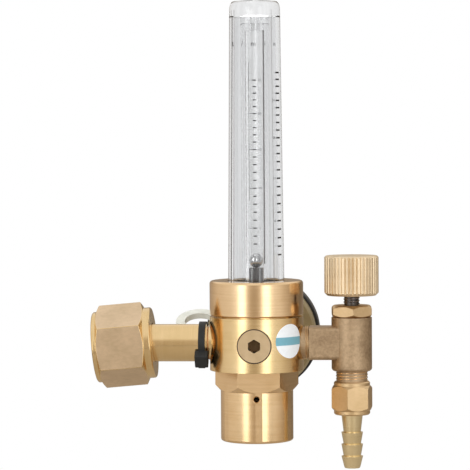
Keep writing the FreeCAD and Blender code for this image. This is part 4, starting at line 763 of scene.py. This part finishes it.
def figures(bm, words, size, place):
    """Add flat figures to a bmesh at a place."""
    curve = bpy.data.curves.new("figures", "FONT")
    curve.body = words
    curve.size = size * MM
    curve.align_x = "CENTER"
    curve.align_y = "CENTER"
    curve.extrude = 0.02 * MM
    curve.resolution_u = 3
    holder = bpy.data.objects.new("figures", curve)
    flat = bpy.data.meshes.new_from_object(holder)
    flat.transform(place)
    bm.from_mesh(flat)
    bpy.data.objects.remove(holder)
    bpy.data.curves.remove(curve)
    bpy.data.meshes.remove(flat)


def round_tube(radius, compass, level):
    """The place of flat figures that face outward from a tube."""
    return (Matrix.Rotation(math.radians(compass), 4, "Z") @ Matrix.Translation((0, -radius * MM, level * MM))
            @ Matrix.Rotation(math.radians(90), 4, "X"))


def scale_levels(top, first, growth, widest, count):
    """Heights of the strokes: close together at the top and wider apart at the bottom."""
    levels, level, step = [], top, first
    for _ in range(count):
        levels.append(level)
        level -= step
        step = min(step * growth, widest)
    return levels


def cover_wall(level):
    """Outer radius of the tapered cover at a height."""
    share = (level - FLANGE_TOP) / (COVER_TOP - FLANGE_TOP)
    return COVER_FOOT_RADIUS + (COVER_HEAD_RADIUS - COVER_FOOT_RADIUS) * share


def long_line(bm, low, high, compass, width, radius_at):
    """Add a thin upright line that follows a wall from one height to another."""
    turn = Matrix.Rotation(math.radians(compass), 4, "Z")
    corners = [(-width / 2, -0.03), (width / 2, -0.03), (width / 2, 0.03), (-width / 2, 0.03)]
    rings = [[bm.verts.new(turn @ Vector((side * MM, -(radius_at(level) + rise) * MM, level * MM)))
              for side, rise in corners] for level in (low, high)]
    for index in range(4):
        after = (index + 1) % 4
        bm.faces.new((rings[0][index], rings[0][after], rings[1][after], rings[1][index]))
    for ring in rings:
        bm.faces.new(ring)


print("cover's outer radius at its foot and head:", cover_wall(FLANGE_TOP), cover_wall(COVER_TOP))

# %% [markdown]
# The clear tubes show fine dark upright streaks, reflections of their surroundings in the clear walls, which
# catch the eye more than the clear wall does. They are painted on as thin grey lines: painted reflections.
# Each is given by its compass angle, its width, and its lower and upper height.

# %% Painted reflection streaks
# painted reflections: dark streaks on the metering tube and on the cover
METERING_STREAKS = ((38.0, 0.62, 33.5, 131.0), (-36.0, 0.24, 33.5, 131.0), (-22.0, 0.2, 60.0, 118.0))
COVER_STREAKS = ((42.5, 0.3, 24.0, 62.0), (43.5, 0.16, 62.0, 139.5), (-50.0, 0.26, 24.0, 139.5),
               (-62.0, 0.2, 24.0, 139.5), (-77.0, 0.8, 24.0, 139.5))
# painted reflection: the grey of the dark streaks that the clear walls reflect
painted_streak_grey = plain_finish("painted streak grey", (0.20, 0.185, 0.18), (0.30, 0.285, 0.28), 0.5, 400.0, 0.0)


def painted_streaks():
    """Painted reflections: fine dark upright streaks on the two tubes, drawn as thin grey lines."""
    lines = bmesh.new()
    for compass, width, low, high in METERING_STREAKS:
        long_line(lines, low, high, compass, width, lambda level: METERING_RADIUS)
    for compass, width, low, high in COVER_STREAKS:
        long_line(lines, low, high, compass, width, cover_wall)
    bmesh.ops.recalc_face_normals(lines, faces=lines.faces)
    make_piece("painted_streaks", lines, "regulator", painted_streak_grey, (), AT_BODY)


painted_streaks()

# %% [markdown]
# The flow scale is printed on the metering tube: a short stroke at each step, and at every fifth a
# finer stroke and a small number beside it. A second, bolder row is printed on the cover.

# %% Printed scale
FULL_SCALE = 25


def printed_scale():
    """Strokes and figures on the metering tube, and the bold row on the cover."""
    levels = scale_levels(top=110.2, first=2.70, growth=1.015, widest=3.33, count=23)
    fine = bmesh.new()
    for index, level in enumerate(levels):
        stroke(fine, METERING_RADIUS, 0.5, level, width=1.4, height=0.48)
        if index % 5 == 0:
            stroke(fine, METERING_RADIUS, -14.0, level, width=1.8, height=0.18)
            figures(fine, str(FULL_SCALE - index), 1.5, round_tube(METERING_RADIUS + 0.04, 20.0, level))
    bmesh.ops.recalc_face_normals(fine, faces=fine.faces)
    make_piece("metering_scale", fine, "regulator", ink, (), AT_BODY)
    bold = bmesh.new()
    rises = scale_levels(top=113.3, first=2.83, growth=1.016, widest=3.55, count=24)
    for index, rise in enumerate(rises):
        stroke(bold, cover_wall(rise), 61.5, rise, width=2.8, height=0.66)
        if index % 5 == 4:
            figures(bold, str(FULL_SCALE - index), 1.6, round_tube(cover_wall(rise) + 0.05, 47.0, rise))
    for index, letter in enumerate("L/min"):
        figures(bold, letter, 2.8, round_tube(10.85, -52 + 26 * index, 125.2))
    bmesh.ops.recalc_face_normals(bold, faces=bold.faces)
    make_piece("cover_scale", bold, "regulator", ink, (), AT_BODY)
    print("strokes:", len(levels), "and", len(rises))


printed_scale()

# %% [markdown]
# The stop under the ball is slotted, and pale light shows through its slots. Two narrow pale strips on
# the stop stand for that light.

# %% Slots of the ball stop
def stop_gaps():
    """The pale light that shows through the slots of the ball stop."""
    gaps = bmesh.new()
    for compass in (-27.0, 27.0):
        stroke(gaps, 3.06, compass, 27.9, width=0.62, height=7.2)
    bmesh.ops.recalc_face_normals(gaps, faces=gaps.faces)
    make_piece("stop_gaps", gaps, "regulator", white_plastic, (), AT_BODY)


stop_gaps()

# %% [markdown]
# The gauge's face looks away from the front camera, but it is finished all the same: a round of
# strokes over three quarters of a turn and plain numbers.

# %% Gauge face
def gauge_face():
    """Strokes and numbers on the dial, which faces +Y and reads clockwise from its lower left."""
    bm = bmesh.new()
    front, rim, number_reach = 53.12, 19.6, 13.6
    first, sweep, gaps = 225, 270, 50
    for index in range(gaps + 1):
        angle = math.radians(first - sweep / gaps * index)
        length, width = ((2.6, 0.45) if index % 10 == 0 else (1.7, 0.28) if index % 5 == 0 else (1.1, 0.18))
        made = bmesh.ops.create_cube(bm, size=1.0)
        shape = (Matrix.Rotation(angle, 4, "Z") @ Matrix.Translation(((rim - length / 2) * MM, 0, 0))
                 @ Matrix.Diagonal((length * MM, width * MM, 0.04 * MM, 1)))
        bmesh.ops.transform(bm, matrix=shape, verts=made["verts"])
        if index % 10 == 0:
            spot = Vector((math.cos(angle), math.sin(angle), 0)) * number_reach * MM
            figures(bm, str(index // 2), 3.4, Matrix.Translation(spot))
    figures(bm, "MPa", 2.8, Matrix.Translation((0, -9.5 * MM, 0)))
    face = Matrix.Translation((BODY_X, front * MM, 0)) @ Matrix(((-1, 0, 0, 0), (0, 0, 1, 0), (0, 1, 0, 0),
                                                                (0, 0, 0, 1)))
    bmesh.ops.transform(bm, matrix=face, verts=bm.verts)
    bmesh.ops.recalc_face_normals(bm, faces=bm.faces)
    return make_piece("gauge_print", bm, "regulator", ink)


gauge_face()

# %% [markdown]
